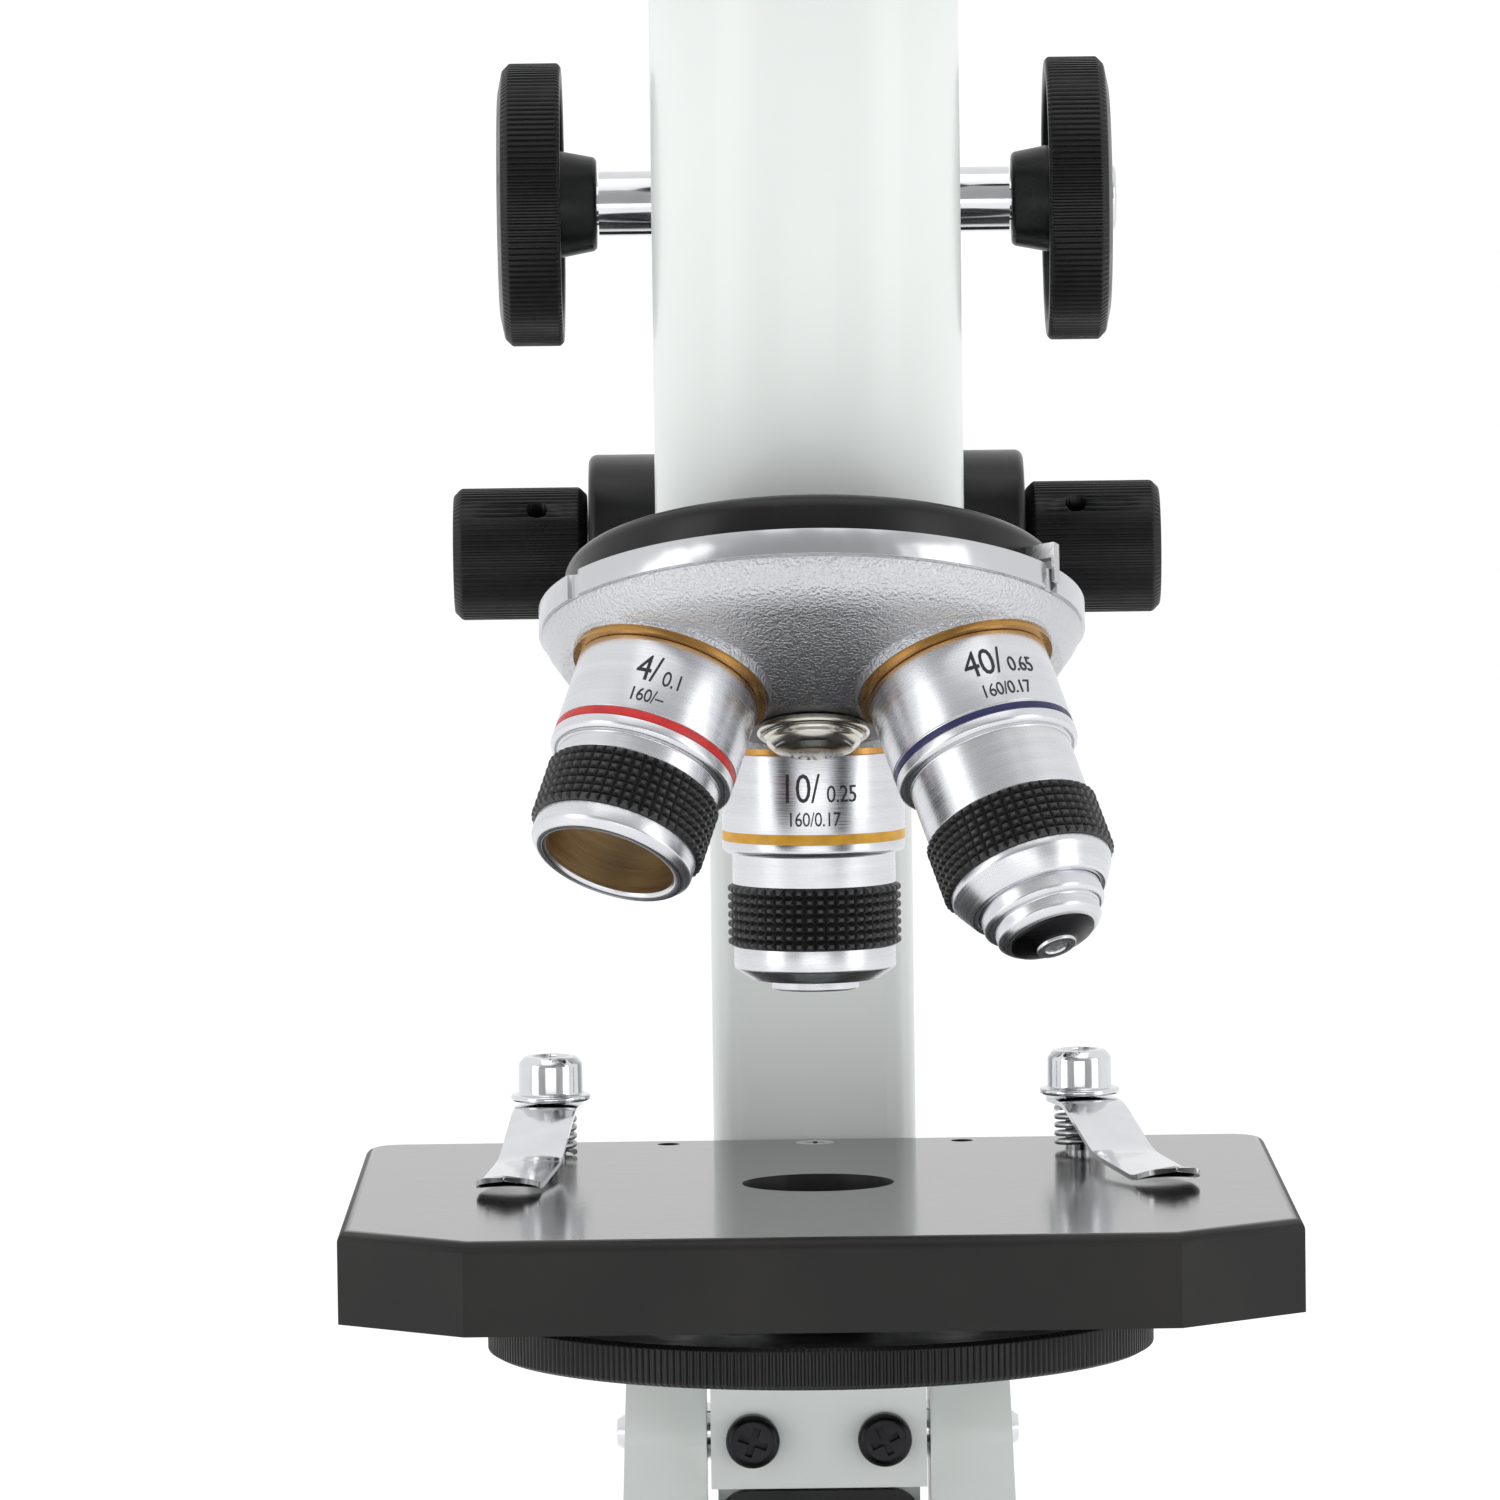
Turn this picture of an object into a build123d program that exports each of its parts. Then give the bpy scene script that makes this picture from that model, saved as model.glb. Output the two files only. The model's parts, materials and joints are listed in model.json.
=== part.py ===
from build123d import *
import math
import os

# Student microscope. Millimetres, +Z up, +Y towards the arm, +X to the right seen from the nosepiece.
# The origin is on the table, under the middle of the base.

# ---------------------------------------------------------------- clearances
SLIDE_GAP = 0.1            # each side of a sliding fit
SHAFT_GAP = 0.06           # radial, shaft in its bush
SEAT_GAP = 0.02            # radial, pieces assembled for good
FREE_GAP = 0.3             # between faces that pass each other

# ---------------------------------------------------------------- datums
OPTIC_Y = -23.0            # optical axis, from the middle of the base
STAGE_TOP = 125.0          # specimen plane above the table
STAGE_BACK = 52.3          # stage's back edge, behind the optical axis
STAGE_BACK_GAP = 1.7       # stage to column
COLUMN_DEPTH = 28.0
PIVOT_BACK = STAGE_BACK + STAGE_BACK_GAP + COLUMN_DEPTH / 2   # column centre, behind the optical axis
PIVOT_DROP = 42.5          # tilt pivot below the stage top
PIVOT_Y = OPTIC_Y + PIVOT_BACK
PIVOT_Z = STAGE_TOP - PIVOT_DROP

# ---------------------------------------------------------------- base
BASE_WIDTH = 124.0
BASE_LENGTH = 170.0
BASE_HEIGHT = 28.0
BASE_CORNER = 24.0
BASE_WALL = 4.0
BASE_DRAFT = 8.0
BASE_EDGE = 5.0
FOOT_HEIGHT = 6.0
FOOT_RADIUS = 9.0
FOOT_INSET = 16.0
PLATE_THICK = 2.0
PLATE_SCREW_INSET_X = 12.0
PLATE_SCREW_INSET_Y = 38.0
PLATE_SCREW_RADIUS = 1.5
PLATE_SCREW_LENGTH = 12.0
CABLE_RADIUS = 3.0         # wire hole under the lamp
BASE_TOP = FOOT_HEIGHT + BASE_HEIGHT

# battery bay in the base
CELL_RADIUS = 7.2
CELL_LENGTH = 50.0
CELL_COUNT = 3
CELL_PITCH = 2 * CELL_RADIUS + 1.0
CELL_BUTTON = 2.6
CELL_BUTTON_LENGTH = 1.5
DOOR_WIDTH = CELL_LENGTH + 6.0
DOOR_LENGTH = CELL_COUNT * CELL_PITCH + 4.8
DOOR_THICK = 2.2
DOOR_LEDGE = 2.0           # door beyond the bay's opening
BAY_MIDDLE_Y = BASE_LENGTH / 2 - DOOR_LENGTH / 2 - 16.0
RAIL_WIDTH = 2.4
RAIL_LIP = 1.8
RAIL_LIP_THICK = 0.8

# power switch on the base top
SWITCH_X = 37.0
SWITCH_Y = -58.0
SWITCH_FRAME_LIP = 1.6
SWITCH_KEY_WIDTH = 10.0
SWITCH_KEY_LENGTH = 16.0
SWITCH_FRAME_WIDTH = SWITCH_KEY_WIDTH + 5.0
SWITCH_FRAME_LENGTH = SWITCH_KEY_LENGTH + 5.0
SWITCH_DEPTH = 10.0
SWITCH_POCKET = 7.0
SWITCH_REST_TILT = 7.0

# lamp
LAMP_RADIUS = 22.0
LAMP_HEIGHT = 26.0
LAMP_FLANGE = 4.0
LAMP_WALL = 4.0
LAMP_LEDGE = 2.0           # ledge that the field lens sits on
LAMP_FLOOR = 6.0
LENS_EDGE = 3.0
LENS_DOME = 4.0
BOARD_THICK = 1.6
LED_RADIUS = 2.6

# ---------------------------------------------------------------- column, fork and bracket
COLUMN_WIDTH = 27.8
COLUMN_ROUND = 4.0
COLUMN_WALL_X = 4.8        # beside the cavity
COLUMN_WALL_Y = 4.0        # before and behind the cavity
FORK_PLAY = 1.5            # column to pillar
PILLAR_THICK = 11.3
FORK_GAP = COLUMN_WIDTH + 2 * FORK_PLAY
FORK_WIDTH = FORK_GAP + 2 * PILLAR_THICK
FORK_DRAFT = 2.0
FORK_DEPTH = COLUMN_DEPTH
FORK_FOOT_DEPTH = FORK_DEPTH + 10.0
PIN_RADIUS = 4.0
PIN_END_RADIUS = 2.55
PIN_END_LENGTH = 3.0       # thin end of the pin, through the pillar's outer wall
PIN_END_PROUD = 1.4
COVER_WIDTH = FORK_GAP - 3.2
COVER_THICK = 2.5
FLANGE_WIDTH = FORK_GAP - 1.2
FLANGE_THICK = 4.0
FLANGE_DROP = 48.0
BRACKET_SCREW_SPACING = 18.1
BRACKET_SCREW_DROP = 41.3
BRACKET_SCREW_RADIUS = 2.0
BRACKET_SCREW_GRIP = 7.0   # length in the column
BRACKET_HEAD_RADIUS = 3.7
BRACKET_HEAD_HEIGHT = 2.4
SHELF_THICK = 6.0
SHELF_WIDTH = 30.0
SHELF_BACK_WIDTH = FLANGE_WIDTH + 4.4
WEB_HALF_WIDTH = 4.0
CONDENSER_RADIUS = 8.4
CONDENSER_LIP = CONDENSER_RADIUS - 1.4
CONDENSER_SEAT = 1.0
CONDENSER_EDGE = 3.2

# ---------------------------------------------------------------- stage
STAGE_WIDTH = 122.8
STAGE_FRONT = 59.6         # front edge, ahead of the optical axis
STAGE_SKIRT = 12.0
STAGE_PLATE = 4.0
STAGE_WALL = 3.0
STAGE_EDGE = 1.6
STAGE_CORNER = 5.0
STAGE_CHAMFER_X = 16.3
STAGE_CHAMFER_Y = 14.0
STAGE_HOLE_RADIUS = 10.0
STAGE_NOTCH_WIDTH = SHELF_BACK_WIDTH + 10.0
STAGE_TAP_RADIUS = 1.5
STAGE_TAP_SPACING = 40.0
STAGE_TAP_BACK = 47.0
STAGE_SCREW_HEAD = 2.75
STAGE_SCREW_SINK = 1.3
STAGE_SCREW_LENGTH = 9.0

# aperture disc
DISC_RADIUS = 42.9
DISC_THICK = 5.3
DISC_TOP_DROP = STAGE_SKIRT + 2.0
DISC_AHEAD = 16.8          # disc pivot, ahead of the optical axis
DISC_RIM = 5.0
DISC_RECESS = 1.5          # web below the rim's top
DISC_WEB = 2.0
DISC_HUB = 7.0
DISC_PIVOT_RADIUS = 2.5
DISC_SCREW_RADIUS = 2.0
APERTURES = (1.5, 3.0, 4.5, 6.0, 7.5)

# stage clips
CLIP_POST_X = 35.7
CLIP_POST_BACK = 35.0
CLIP_POST_RADIUS = 2.0
CLIP_CAP_RADIUS = 4.3
CLIP_CAP_HEIGHT = 5.2
CLIP_WASHER_RADIUS = 5.4
CLIP_WASHER_THICK = 0.8
CLIP_STRIP_TOP = 7.3
CLIP_STRIP_THICK = 0.8
CLIP_STRIP_WIDTH = 8.4
CLIP_STRIP_LENGTH = 53.0
CLIP_TAIL = 5.8            # behind the post
CLIP_FLAT = 6.5            # from the post to the first bend
CLIP_BEND = 21.5           # from the post to the second bend
CLIP_TIP = 5.5             # length of the part that turns up
CLIP_LEFT_TURN = -6.5
CLIP_RIGHT_TURN = 13.5
CLIP_WIRE = 0.8
CLIP_COIL_RADIUS = 3.1
CLIP_COIL_TURNS = 4.5

# ---------------------------------------------------------------- fine focus
FINE_Z = STAGE_TOP + 79.8
FINE_SHAFT_RADIUS = 2.5
FINE_BUSH_RADIUS = 4.5
FINE_BUSH_END = COLUMN_WIDTH / 2 + 8.1
DRUM_RADIUS = COLUMN_DEPTH / 2 - 0.5
DRUM_LENGTH = 16.0
DRUM_WIDTH = COLUMN_WIDTH + 2 * DRUM_LENGTH
FINE_KNOB_RADIUS = 9.1
FINE_KNOB_LENGTH = 18.4
FINE_KNOB_CHAMFER = 0.9
FINE_KNOB_END = 4.0        # knob beyond the shaft's end
FINE_SCREW_RADIUS = 1.5
FINE_SCREW_INSET = 6.8     # set screw from the knob's inner face
FINE_SCREW_LENGTH = 4.0
HEAD_BULGE = 0.5           # column head radius beyond half its depth
CAVITY_WIDTH = COLUMN_WIDTH - 2 * COLUMN_WALL_X
CAVITY_DEPTH = COLUMN_DEPTH - 2 * COLUMN_WALL_Y
CAVITY_DROP = 20.0         # cavity floor below the fine axis
WEDGE_WIDTH = 8.0
WEDGE_DEPTH = 12.0
WEDGE_SLOPE = 0.4
WEDGE_RISE = 7.5
LEG_THICK = 3.0
LEG_DROP = 18.0
LIMB_GAP = 1.6             # column head to limb, with room for the fine travel

# ---------------------------------------------------------------- tube
TUBE_RADIUS = 20.2
TUBE_WALL = 2.7
TUBE_TOP = STAGE_TOP + 165.0
TUBE_START = STAGE_TOP + 40.0    # below the tube's slanting foot

# ---------------------------------------------------------------- limb and coarse focus
SLIDE_STAND = 3.8          # tube to guide
GUIDE_DEPTH = 10.0
GUIDE_FRONT = TUBE_RADIUS + SLIDE_STAND
LIMB_FRONT = GUIDE_FRONT + GUIDE_DEPTH   # behind the optical axis
COARSE_BACK = GUIDE_FRONT + 11.0         # pinion axis, behind the optical axis
COARSE_Z = STAGE_TOP + 128.3
LIMB_TOP = STAGE_TOP + 152.0
LIMB_BACK_ROUND = 40.0
LIMB_UNDER = STAGE_TOP + 101.0
COARSE_SHAFT_RADIUS = 3.0
SLEEVE_RADIUS = 4.35
SLEEVE_END = COLUMN_WIDTH / 2 + 13.6
HUB_LENGTH = 4.6
HUB_RADIUS = 7.1
HUB_END_RADIUS = 6.3
COARSE_KNOB_RADIUS = 18.95
COARSE_KNOB_LENGTH = 8.5
COARSE_KNOB_INNER = SLEEVE_END + FREE_GAP + HUB_LENGTH
COARSE_KNOB_OUTER = COARSE_KNOB_INNER + COARSE_KNOB_LENGTH
COARSE_KNOB_WALL = 2.4
CAP_RADIUS = 4.4
CAP_PROUD = 0.9

GEAR_MODULE = 0.8
PINION_TEETH = 12
PINION_WIDTH = 8.0
PRESSURE_ANGLE = 20.0
ADDENDUM = 0.55
DEDENDUM = 0.85
BACKLASH = 0.12
RACK_BODY = 2.2
RACK_BOTTOM = STAGE_TOP + 88.0
RACK_TOP = STAGE_TOP + 158.0

GUIDE_WIDTH = COLUMN_WIDTH - 0.8
GUIDE_BOTTOM = STAGE_TOP + 98.0
DOVETAIL_DEPTH = 5.6
DOVETAIL_NECK = 7.0
DOVETAIL_FOOT = 10.2
SLIDE_PAD_FRONT = TUBE_RADIUS - 2.2
SLIDE_PAD_WIDTH = 18.0
SLIDE_BOTTOM = STAGE_TOP + 86.0
SLIDE_TOP = STAGE_TOP + 160.0

# ---------------------------------------------------------------- nosepiece
NOSE_APEX = STAGE_TOP + 119.2   # where the objective axes and the turret axis meet
NOSE_TILT = 20.0
SEAT_REACH = 62.0          # apex to each objective's shoulder
RING_START = 39.4          # distances from the apex along the turret axis
RING_END = 45.2
RING_RADIUS = TUBE_RADIUS + 11.7
RING_ROUND = 2.2
RING_FOOT = 3.5            # spigot inside the tube's slanting foot
LIGHT_RADIUS = 8.0
HUB_POST_RADIUS = 7.0
HUB_POST_END = 56.0
TURRET_START = RING_END + FREE_GAP
TURRET_RADIUS = RING_RADIUS + 3.4
TURRET_RIM = 3.3
TURRET_RIM_PROUD = 0.4
TURRET_FACE = 61.4
TURRET_SHELL = 4.5
TURRET_WALL = 4.8
TURRET_HUB = 12.0
PIVOT_THREAD_RADIUS = 2.5
PIVOT_THREAD_LENGTH = 5.5
PIVOT_SHOULDER = 4.0
PIVOT_WASHER_RADIUS = 7.3
PIVOT_WASHER_THICK = 1.1
PIVOT_DOME_RADIUS = 5.0
NOTCH_RADIUS = 1.4
LEAF_WIDTH = 1.4           # detent spring
LEAF_THICK = 0.4
LEAF_STAND = 0.35
LEAF_TOP = 42.6
LEAF_STEP = 44.6
LEAF_END = 47.8
THREAD_RADIUS = 10.1
THREAD_LENGTH = 4.5

# objectives, heights measured down from the shoulder
SLEEVE_OD_RADIUS = 12.0
SLEEVE_LENGTH = 13.4
SEAT_RING_RADIUS = SLEEVE_OD_RADIUS + 0.9
SEAT_RING_THICK = 0.8
NECK_RADIUS = SLEEVE_OD_RADIUS - 1.3
GRIP_RADIUS = SLEEVE_OD_RADIUS - 0.95
FRONT_RADIUS = SLEEVE_OD_RADIUS - 1.4
LENS_PATH = 6.0
NECK_4X = 2.2
GRIP_4X = 8.0
LIP_4X = 3.2
MOUTH_4X = FRONT_RADIUS - 2.2
MOUTH_DEPTH_4X = 11.0
NECK_10X = 4.2
GRIP_10X = 8.1
FRONT_10X = 2.9
BEVEL_10X = 1.6
NOSE_10X = 1.3
NOSE_RADIUS_10X = 5.7
NOSE_BORE_10X = NOSE_RADIUS_10X - 1.5
NECK_40X = 8.2
GRIP_40X = 7.8
TAPER_40X = 3.9
LIP_40X = 1.7              # lip that keeps the spring nose in
BAY_40X = 14.0             # spring bay, from the lip's front face
NOSE_STAND_40X = 0.3       # spring nose flange above the lip
NOSE_FLANGE_40X = 2.3
SPRING_NOSE_RADIUS = FRONT_RADIUS - 2.6
SPRING_NOSE_FLANGE = SPRING_NOSE_RADIUS + 0.5
FRONT_BORE_40X = 1.3

# ---------------------------------------------------------------- head and eyepiece
COLLAR_RADIUS = TUBE_RADIUS + 2.8
COLLAR_HEIGHT = 8.0
COLLAR_FLOOR = 2.5
COLLAR_SPIGOT = 6.0
COLLAR_BORE = 14.0
STUB_RADIUS = COLLAR_RADIUS - 6.2
HEAD_SCREW_RADIUS = 1.5
HEAD_SCREW_KNOB = 4.0
HEAD_WIDTH = 2 * COLLAR_RADIUS - 6.0
PRISM_HEIGHT = 15.0        # prism centre above the collar's top
HEAD_REACH = 22.0          # prism centre to the eyepiece tube's foot
EYE_ANGLE = 45.0
EYEPIECE_RADIUS = 11.6
EYEPIECE_BORE = EYEPIECE_RADIUS - 2.0
EYEPIECE_DEPTH = 21.0
EYEPIECE_HEAD = 21.0
EYEPIECE_HEAD_RADIUS = EYEPIECE_RADIUS + 2.9
EYEPIECE_STOP = 6.0        # eye lens below the eyecup's rim
EYE_TUBE_RADIUS = EYEPIECE_RADIUS + 3.4
EYE_TUBE_LENGTH = 23.0
PRISM_WIDTH = 20.0


# ================================================================ small tools
def block(x0, x1, y0, y1, z0, z1):
    """Box between two corners."""
    return Pos((x0 + x1) / 2, (y0 + y1) / 2, (z0 + z1) / 2) * Box(x1 - x0, y1 - y0, z1 - z0)


def rod_x(radius, x0, x1, y, z):
    """Cylinder along X."""
    return Pos((x0 + x1) / 2, y, z) * Rot(0, 90, 0) * Cylinder(radius, x1 - x0)


def rod_y(radius, y0, y1, x, z):
    """Cylinder along Y."""
    return Pos(x, (y0 + y1) / 2, z) * Rot(90, 0, 0) * Cylinder(radius, y1 - y0)


def rod_z(radius, z0, z1, x=0.0, y=0.0):
    """Cylinder along Z."""
    return Pos(x, y, (z0 + z1) / 2) * Cylinder(radius, z1 - z0)


def turned(outline):
    """Solid of revolution about Z from (radius, height) corners."""
    corners = [(radius, 0, height) for radius, height in outline]
    return revolve(make_face(Polyline(*corners, close=True)), Axis.Z)


def plate_x(sketch, x0, x1):
    """Sketch drawn in Y and Z, made solid from x0 to x1."""
    return Pos(x0, 0, 0) * extrude(Plane.YZ * sketch, x1 - x0, dir=(1, 0, 0))


def plate_z(sketch, z0, z1):
    """Sketch drawn in X and Y, made solid from z0 to z1."""
    return Pos(0, 0, z0) * extrude(sketch, z1 - z0, dir=(0, 0, 1))


def both_sides(part):
    """A piece and its mirror image across the YZ plane."""
    return [part, mirror(part, Plane.YZ)]


def grouped(pieces):
    """Separate solids kept in one node."""
    return Compound(children=[solid for piece in pieces for solid in piece.solids()])


# ================================================================ base
def base_outline(inset, z):
    """Rounded rectangle of the base, drawn in by inset, at height z."""
    width = BASE_WIDTH - 2 * inset
    length = BASE_LENGTH - 2 * inset
    return Pos(0, 0, z) * RectangleRounded(width, length, BASE_CORNER - inset)


def plate_screw_places():
    x = BASE_WIDTH / 2 - PLATE_SCREW_INSET_X
    y = BASE_LENGTH / 2 - PLATE_SCREW_INSET_Y
    return [(sx * x, sy * y) for sx in (-1, 1) for sy in (-1, 1)]


def pillar():
    """Right-hand fork pillar, drafted on its outer face."""
    foot = FORK_FOOT_DEPTH / 2
    head = FORK_DEPTH / 2
    root = BASE_TOP - BASE_WALL / 2
    side = Polygon(
        (PIVOT_Y - foot, root), (PIVOT_Y + foot, root),
        (PIVOT_Y + head, PIVOT_Z), (PIVOT_Y - head, PIVOT_Z), align=None)
    side += Pos(PIVOT_Y, PIVOT_Z) * Circle(head)
    lean = math.tan(math.radians(FORK_DRAFT)) * (PIVOT_Z - root)
    solid = plate_x(side, FORK_GAP / 2, FORK_WIDTH / 2 + lean)
    outer = Plane(origin=(FORK_WIDTH / 2, PIVOT_Y, PIVOT_Z), z_dir=(1, 0, math.tan(math.radians(FORK_DRAFT))))
    solid = split(solid, bisect_by=outer, keep=Keep.BOTTOM)
    return solid


def switch_hole():
    """Opening in the base top for the switch body."""
    width = SWITCH_FRAME_WIDTH - 2 * SWITCH_FRAME_LIP
    length = SWITCH_FRAME_LENGTH - 2 * SWITCH_FRAME_LIP
    cut = block(-width / 2, width / 2, -length / 2, length / 2, -BASE_WALL - 1, 1)
    return Pos(SWITCH_X, SWITCH_Y, BASE_TOP) * cut


def base_casting():
    outer = extrude(base_outline(0, FOOT_HEIGHT), BASE_HEIGHT, taper=BASE_DRAFT)
    outer = fillet(outer.faces().sort_by(Axis.Z)[-1].edges(), BASE_EDGE)
    hollow = extrude(base_outline(BASE_WALL, FOOT_HEIGHT), BASE_HEIGHT - BASE_WALL, taper=BASE_DRAFT)
    casting = outer - hollow
    for x, y in plate_screw_places():
        boss = rod_z(4.0, FOOT_HEIGHT + PLATE_THICK, BASE_TOP - BASE_WALL / 2, x, y)
        casting += boss
        casting -= rod_z(PLATE_SCREW_RADIUS + SEAT_GAP, FOOT_HEIGHT, FOOT_HEIGHT + PLATE_SCREW_LENGTH + 2, x, y)
    for piece in both_sides(pillar()):
        casting += piece
    wide = FORK_WIDTH / 2 - PIN_END_LENGTH
    casting -= rod_x(PIN_RADIUS + SEAT_GAP, -wide, wide, PIVOT_Y, PIVOT_Z)
    casting -= rod_x(PIN_END_RADIUS + SEAT_GAP, -FORK_WIDTH, FORK_WIDTH, PIVOT_Y, PIVOT_Z)
    casting -= switch_hole()
    casting -= rod_z(CABLE_RADIUS, BASE_TOP - BASE_WALL - 1, BASE_TOP + 1, 0, OPTIC_Y)
    return casting


def base_plate():
    inset = BASE_WALL + FREE_GAP
    z0 = FOOT_HEIGHT
    z1 = z0 + PLATE_THICK
    y0 = BAY_MIDDLE_Y - DOOR_LENGTH / 2
    y1 = BAY_MIDDLE_Y + DOOR_LENGTH / 2
    plate = extrude(base_outline(inset, z0), PLATE_THICK, taper=BASE_DRAFT)
    opening = DOOR_WIDTH / 2 - DOOR_LEDGE
    plate -= block(-opening, opening, y0 + DOOR_LEDGE, y1 - DOOR_LEDGE, z0 - 1, z1 + 1)
    rail_in = DOOR_WIDTH / 2 + FREE_GAP
    lip_top = z0 - FREE_GAP - DOOR_THICK - FREE_GAP
    rail_low = lip_top - RAIL_LIP_THICK
    rail = block(rail_in, rail_in + RAIL_WIDTH, y0, y1, rail_low, z0)
    rail += block(rail_in - RAIL_LIP, rail_in + RAIL_WIDTH / 2, y0, y1, rail_low, lip_top)
    for piece in both_sides(rail):
        plate += piece
    for x, y in plate_screw_places():
        plate -= rod_z(PLATE_SCREW_RADIUS + SLIDE_GAP, z0 - 1, z1 + 1, x, y)
    return plate


def rubber_feet():
    x = BASE_WIDTH / 2 - FOOT_INSET
    y = BASE_LENGTH / 2 - FOOT_INSET
    outline = [(0, 0), (FOOT_RADIUS - 1, 0), (FOOT_RADIUS, 1), (FOOT_RADIUS - 0.8, FOOT_HEIGHT), (0, FOOT_HEIGHT)]
    foot = turned(outline)
    return grouped([Pos(sx * x, sy * y, 0) * foot for sx in (-1, 1) for sy in (-1, 1)])


def pan_screw(head_radius, head_height, shank_radius, shank_length):
    """Cross-recessed pan head screw, head up, seat at z = 0."""
    screw = rod_z(head_radius, 0, head_height)
    screw = fillet(screw.edges().sort_by(Axis.Z)[-1], head_height * 0.45)
    screw += rod_z(shank_radius, -shank_length, 0)
    slot = block(-head_radius * 0.55, head_radius * 0.55, -head_radius * 0.13, head_radius * 0.13,
                 head_height * 0.45, head_height + 1)
    return screw - slot - Rot(0, 0, 90) * slot


def base_plate_screws():
    screw = Rot(180, 0, 0) * pan_screw(2 * PLATE_SCREW_RADIUS, 1.8, PLATE_SCREW_RADIUS, PLATE_SCREW_LENGTH)
    return grouped([Pos(x, y, FOOT_HEIGHT) * screw for x, y in plate_screw_places()])


def fork_cover():
    height = STAGE_TOP - FLANGE_DROP - 0.5 - BASE_TOP
    front = PIVOT_Y - COLUMN_DEPTH / 2 - 3
    face = Pos(0, height / 2) * RectangleRounded(COVER_WIDTH, height, 4.0)
    face += Pos(0, height / 4) * Rectangle(COVER_WIDTH, height / 2)
    cover = extrude(Plane.XZ * face, COVER_THICK)
    return Pos(0, front + COVER_THICK, BASE_TOP) * cover


def tilt_pin():
    body = FORK_WIDTH / 2 - PIN_END_LENGTH - SEAT_GAP
    end = FORK_WIDTH / 2
    outline = [(0, 0), (PIN_RADIUS, 0), (PIN_RADIUS, body), (PIN_END_RADIUS, body), (PIN_END_RADIUS, end)]
    half = turned(outline + [(PIN_END_RADIUS * 0.72, end + PIN_END_PROUD * 0.8), (0, end + PIN_END_PROUD)])
    right = Pos(0, PIVOT_Y, PIVOT_Z) * Rot(0, 90, 0) * half
    return right + mirror(right, Plane.YZ)


def lamp_housing():
    outer = LAMP_RADIUS
    inner = outer - LAMP_WALL
    bore = inner - LAMP_LEDGE
    ledge = LAMP_HEIGHT - LENS_EDGE
    outline = [(CABLE_RADIUS, 0), (outer + 4, 0), (outer + 4, LAMP_FLANGE - 1), (outer + 3, LAMP_FLANGE),
               (outer, LAMP_FLANGE), (outer, LAMP_HEIGHT - 1.5), (outer - 1.5, LAMP_HEIGHT), (inner, LAMP_HEIGHT),
               (inner, ledge), (bore, ledge), (bore, LAMP_FLOOR), (CABLE_RADIUS, LAMP_FLOOR)]
    return Pos(0, OPTIC_Y, BASE_TOP) * turned(outline)


def lamp_lens():
    radius = LAMP_RADIUS - LAMP_WALL - SEAT_GAP
    ball = (radius ** 2 + LENS_DOME ** 2) / (2 * LENS_DOME)
    dome = Pos(0, 0, LENS_DOME - ball) * Sphere(ball)
    dome = dome & rod_z(radius, 0, LENS_DOME + 1)
    lens = rod_z(radius, -LENS_EDGE, 0) + dome
    return Pos(0, OPTIC_Y, BASE_TOP + LAMP_HEIGHT) * lens


def led_board():
    board = rod_z(LAMP_RADIUS - LAMP_WALL - LAMP_LEDGE - 1.0, 0, BOARD_THICK)
    board += rod_z(LED_RADIUS, BOARD_THICK, 2 * BOARD_THICK)
    board += Pos(0, 0, 2 * BOARD_THICK) * Sphere(LED_RADIUS)
    return Pos(0, OPTIC_Y, BASE_TOP + LAMP_FLOOR) * board


def battery_cells():
    height = FOOT_HEIGHT + PLATE_THICK + FREE_GAP + CELL_RADIUS
    first = BAY_MIDDLE_Y - CELL_PITCH * (CELL_COUNT - 1) / 2
    can = CELL_LENGTH - CELL_BUTTON_LENGTH
    outline = [(0, 0), (CELL_RADIUS, 0), (CELL_RADIUS, can), (CELL_BUTTON, can), (CELL_BUTTON, CELL_LENGTH),
               (0, CELL_LENGTH)]
    cell = Pos(-CELL_LENGTH / 2, 0, height) * Rot(0, 90, 0) * turned(outline)
    either = [mirror(cell, Plane.YZ), cell]
    return grouped([Pos(0, first + i * CELL_PITCH, 0) * either[i % 2] for i in range(CELL_COUNT)])


def battery_door():
    """Sliding door with five thumb grooves near its back edge."""
    top = FOOT_HEIGHT - FREE_GAP
    under = top - DOOR_THICK
    back = BAY_MIDDLE_Y + DOOR_LENGTH / 2
    door = block(-DOOR_WIDTH / 2, DOOR_WIDTH / 2, back - DOOR_LENGTH, back, under, top)
    for i in range(5):
        y = back - 5 - 2.4 * i
        door -= block(-10, 10, y - 0.6, y + 0.6, under - 1, under + 0.7)
    return door


def switch_frame():
    width = SWITCH_FRAME_WIDTH
    length = SWITCH_FRAME_LENGTH
    frame = plate_z(RectangleRounded(width, length, 1.5), 0, SWITCH_FRAME_LIP)
    body_width = width - 2 * SWITCH_FRAME_LIP - 2 * SLIDE_GAP
    body_length = length - 2 * SWITCH_FRAME_LIP - 2 * SLIDE_GAP
    frame += block(-body_width / 2, body_width / 2, -body_length / 2, body_length / 2, -SWITCH_DEPTH, 0)
    pocket_width = SWITCH_KEY_WIDTH + 2 * FREE_GAP
    pocket_length = SWITCH_KEY_LENGTH + 1.0
    frame -= block(-pocket_width / 2, pocket_width / 2, -pocket_length / 2, pocket_length / 2, -SWITCH_POCKET, 5)
    return Pos(SWITCH_X, SWITCH_Y, BASE_TOP) * frame


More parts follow.
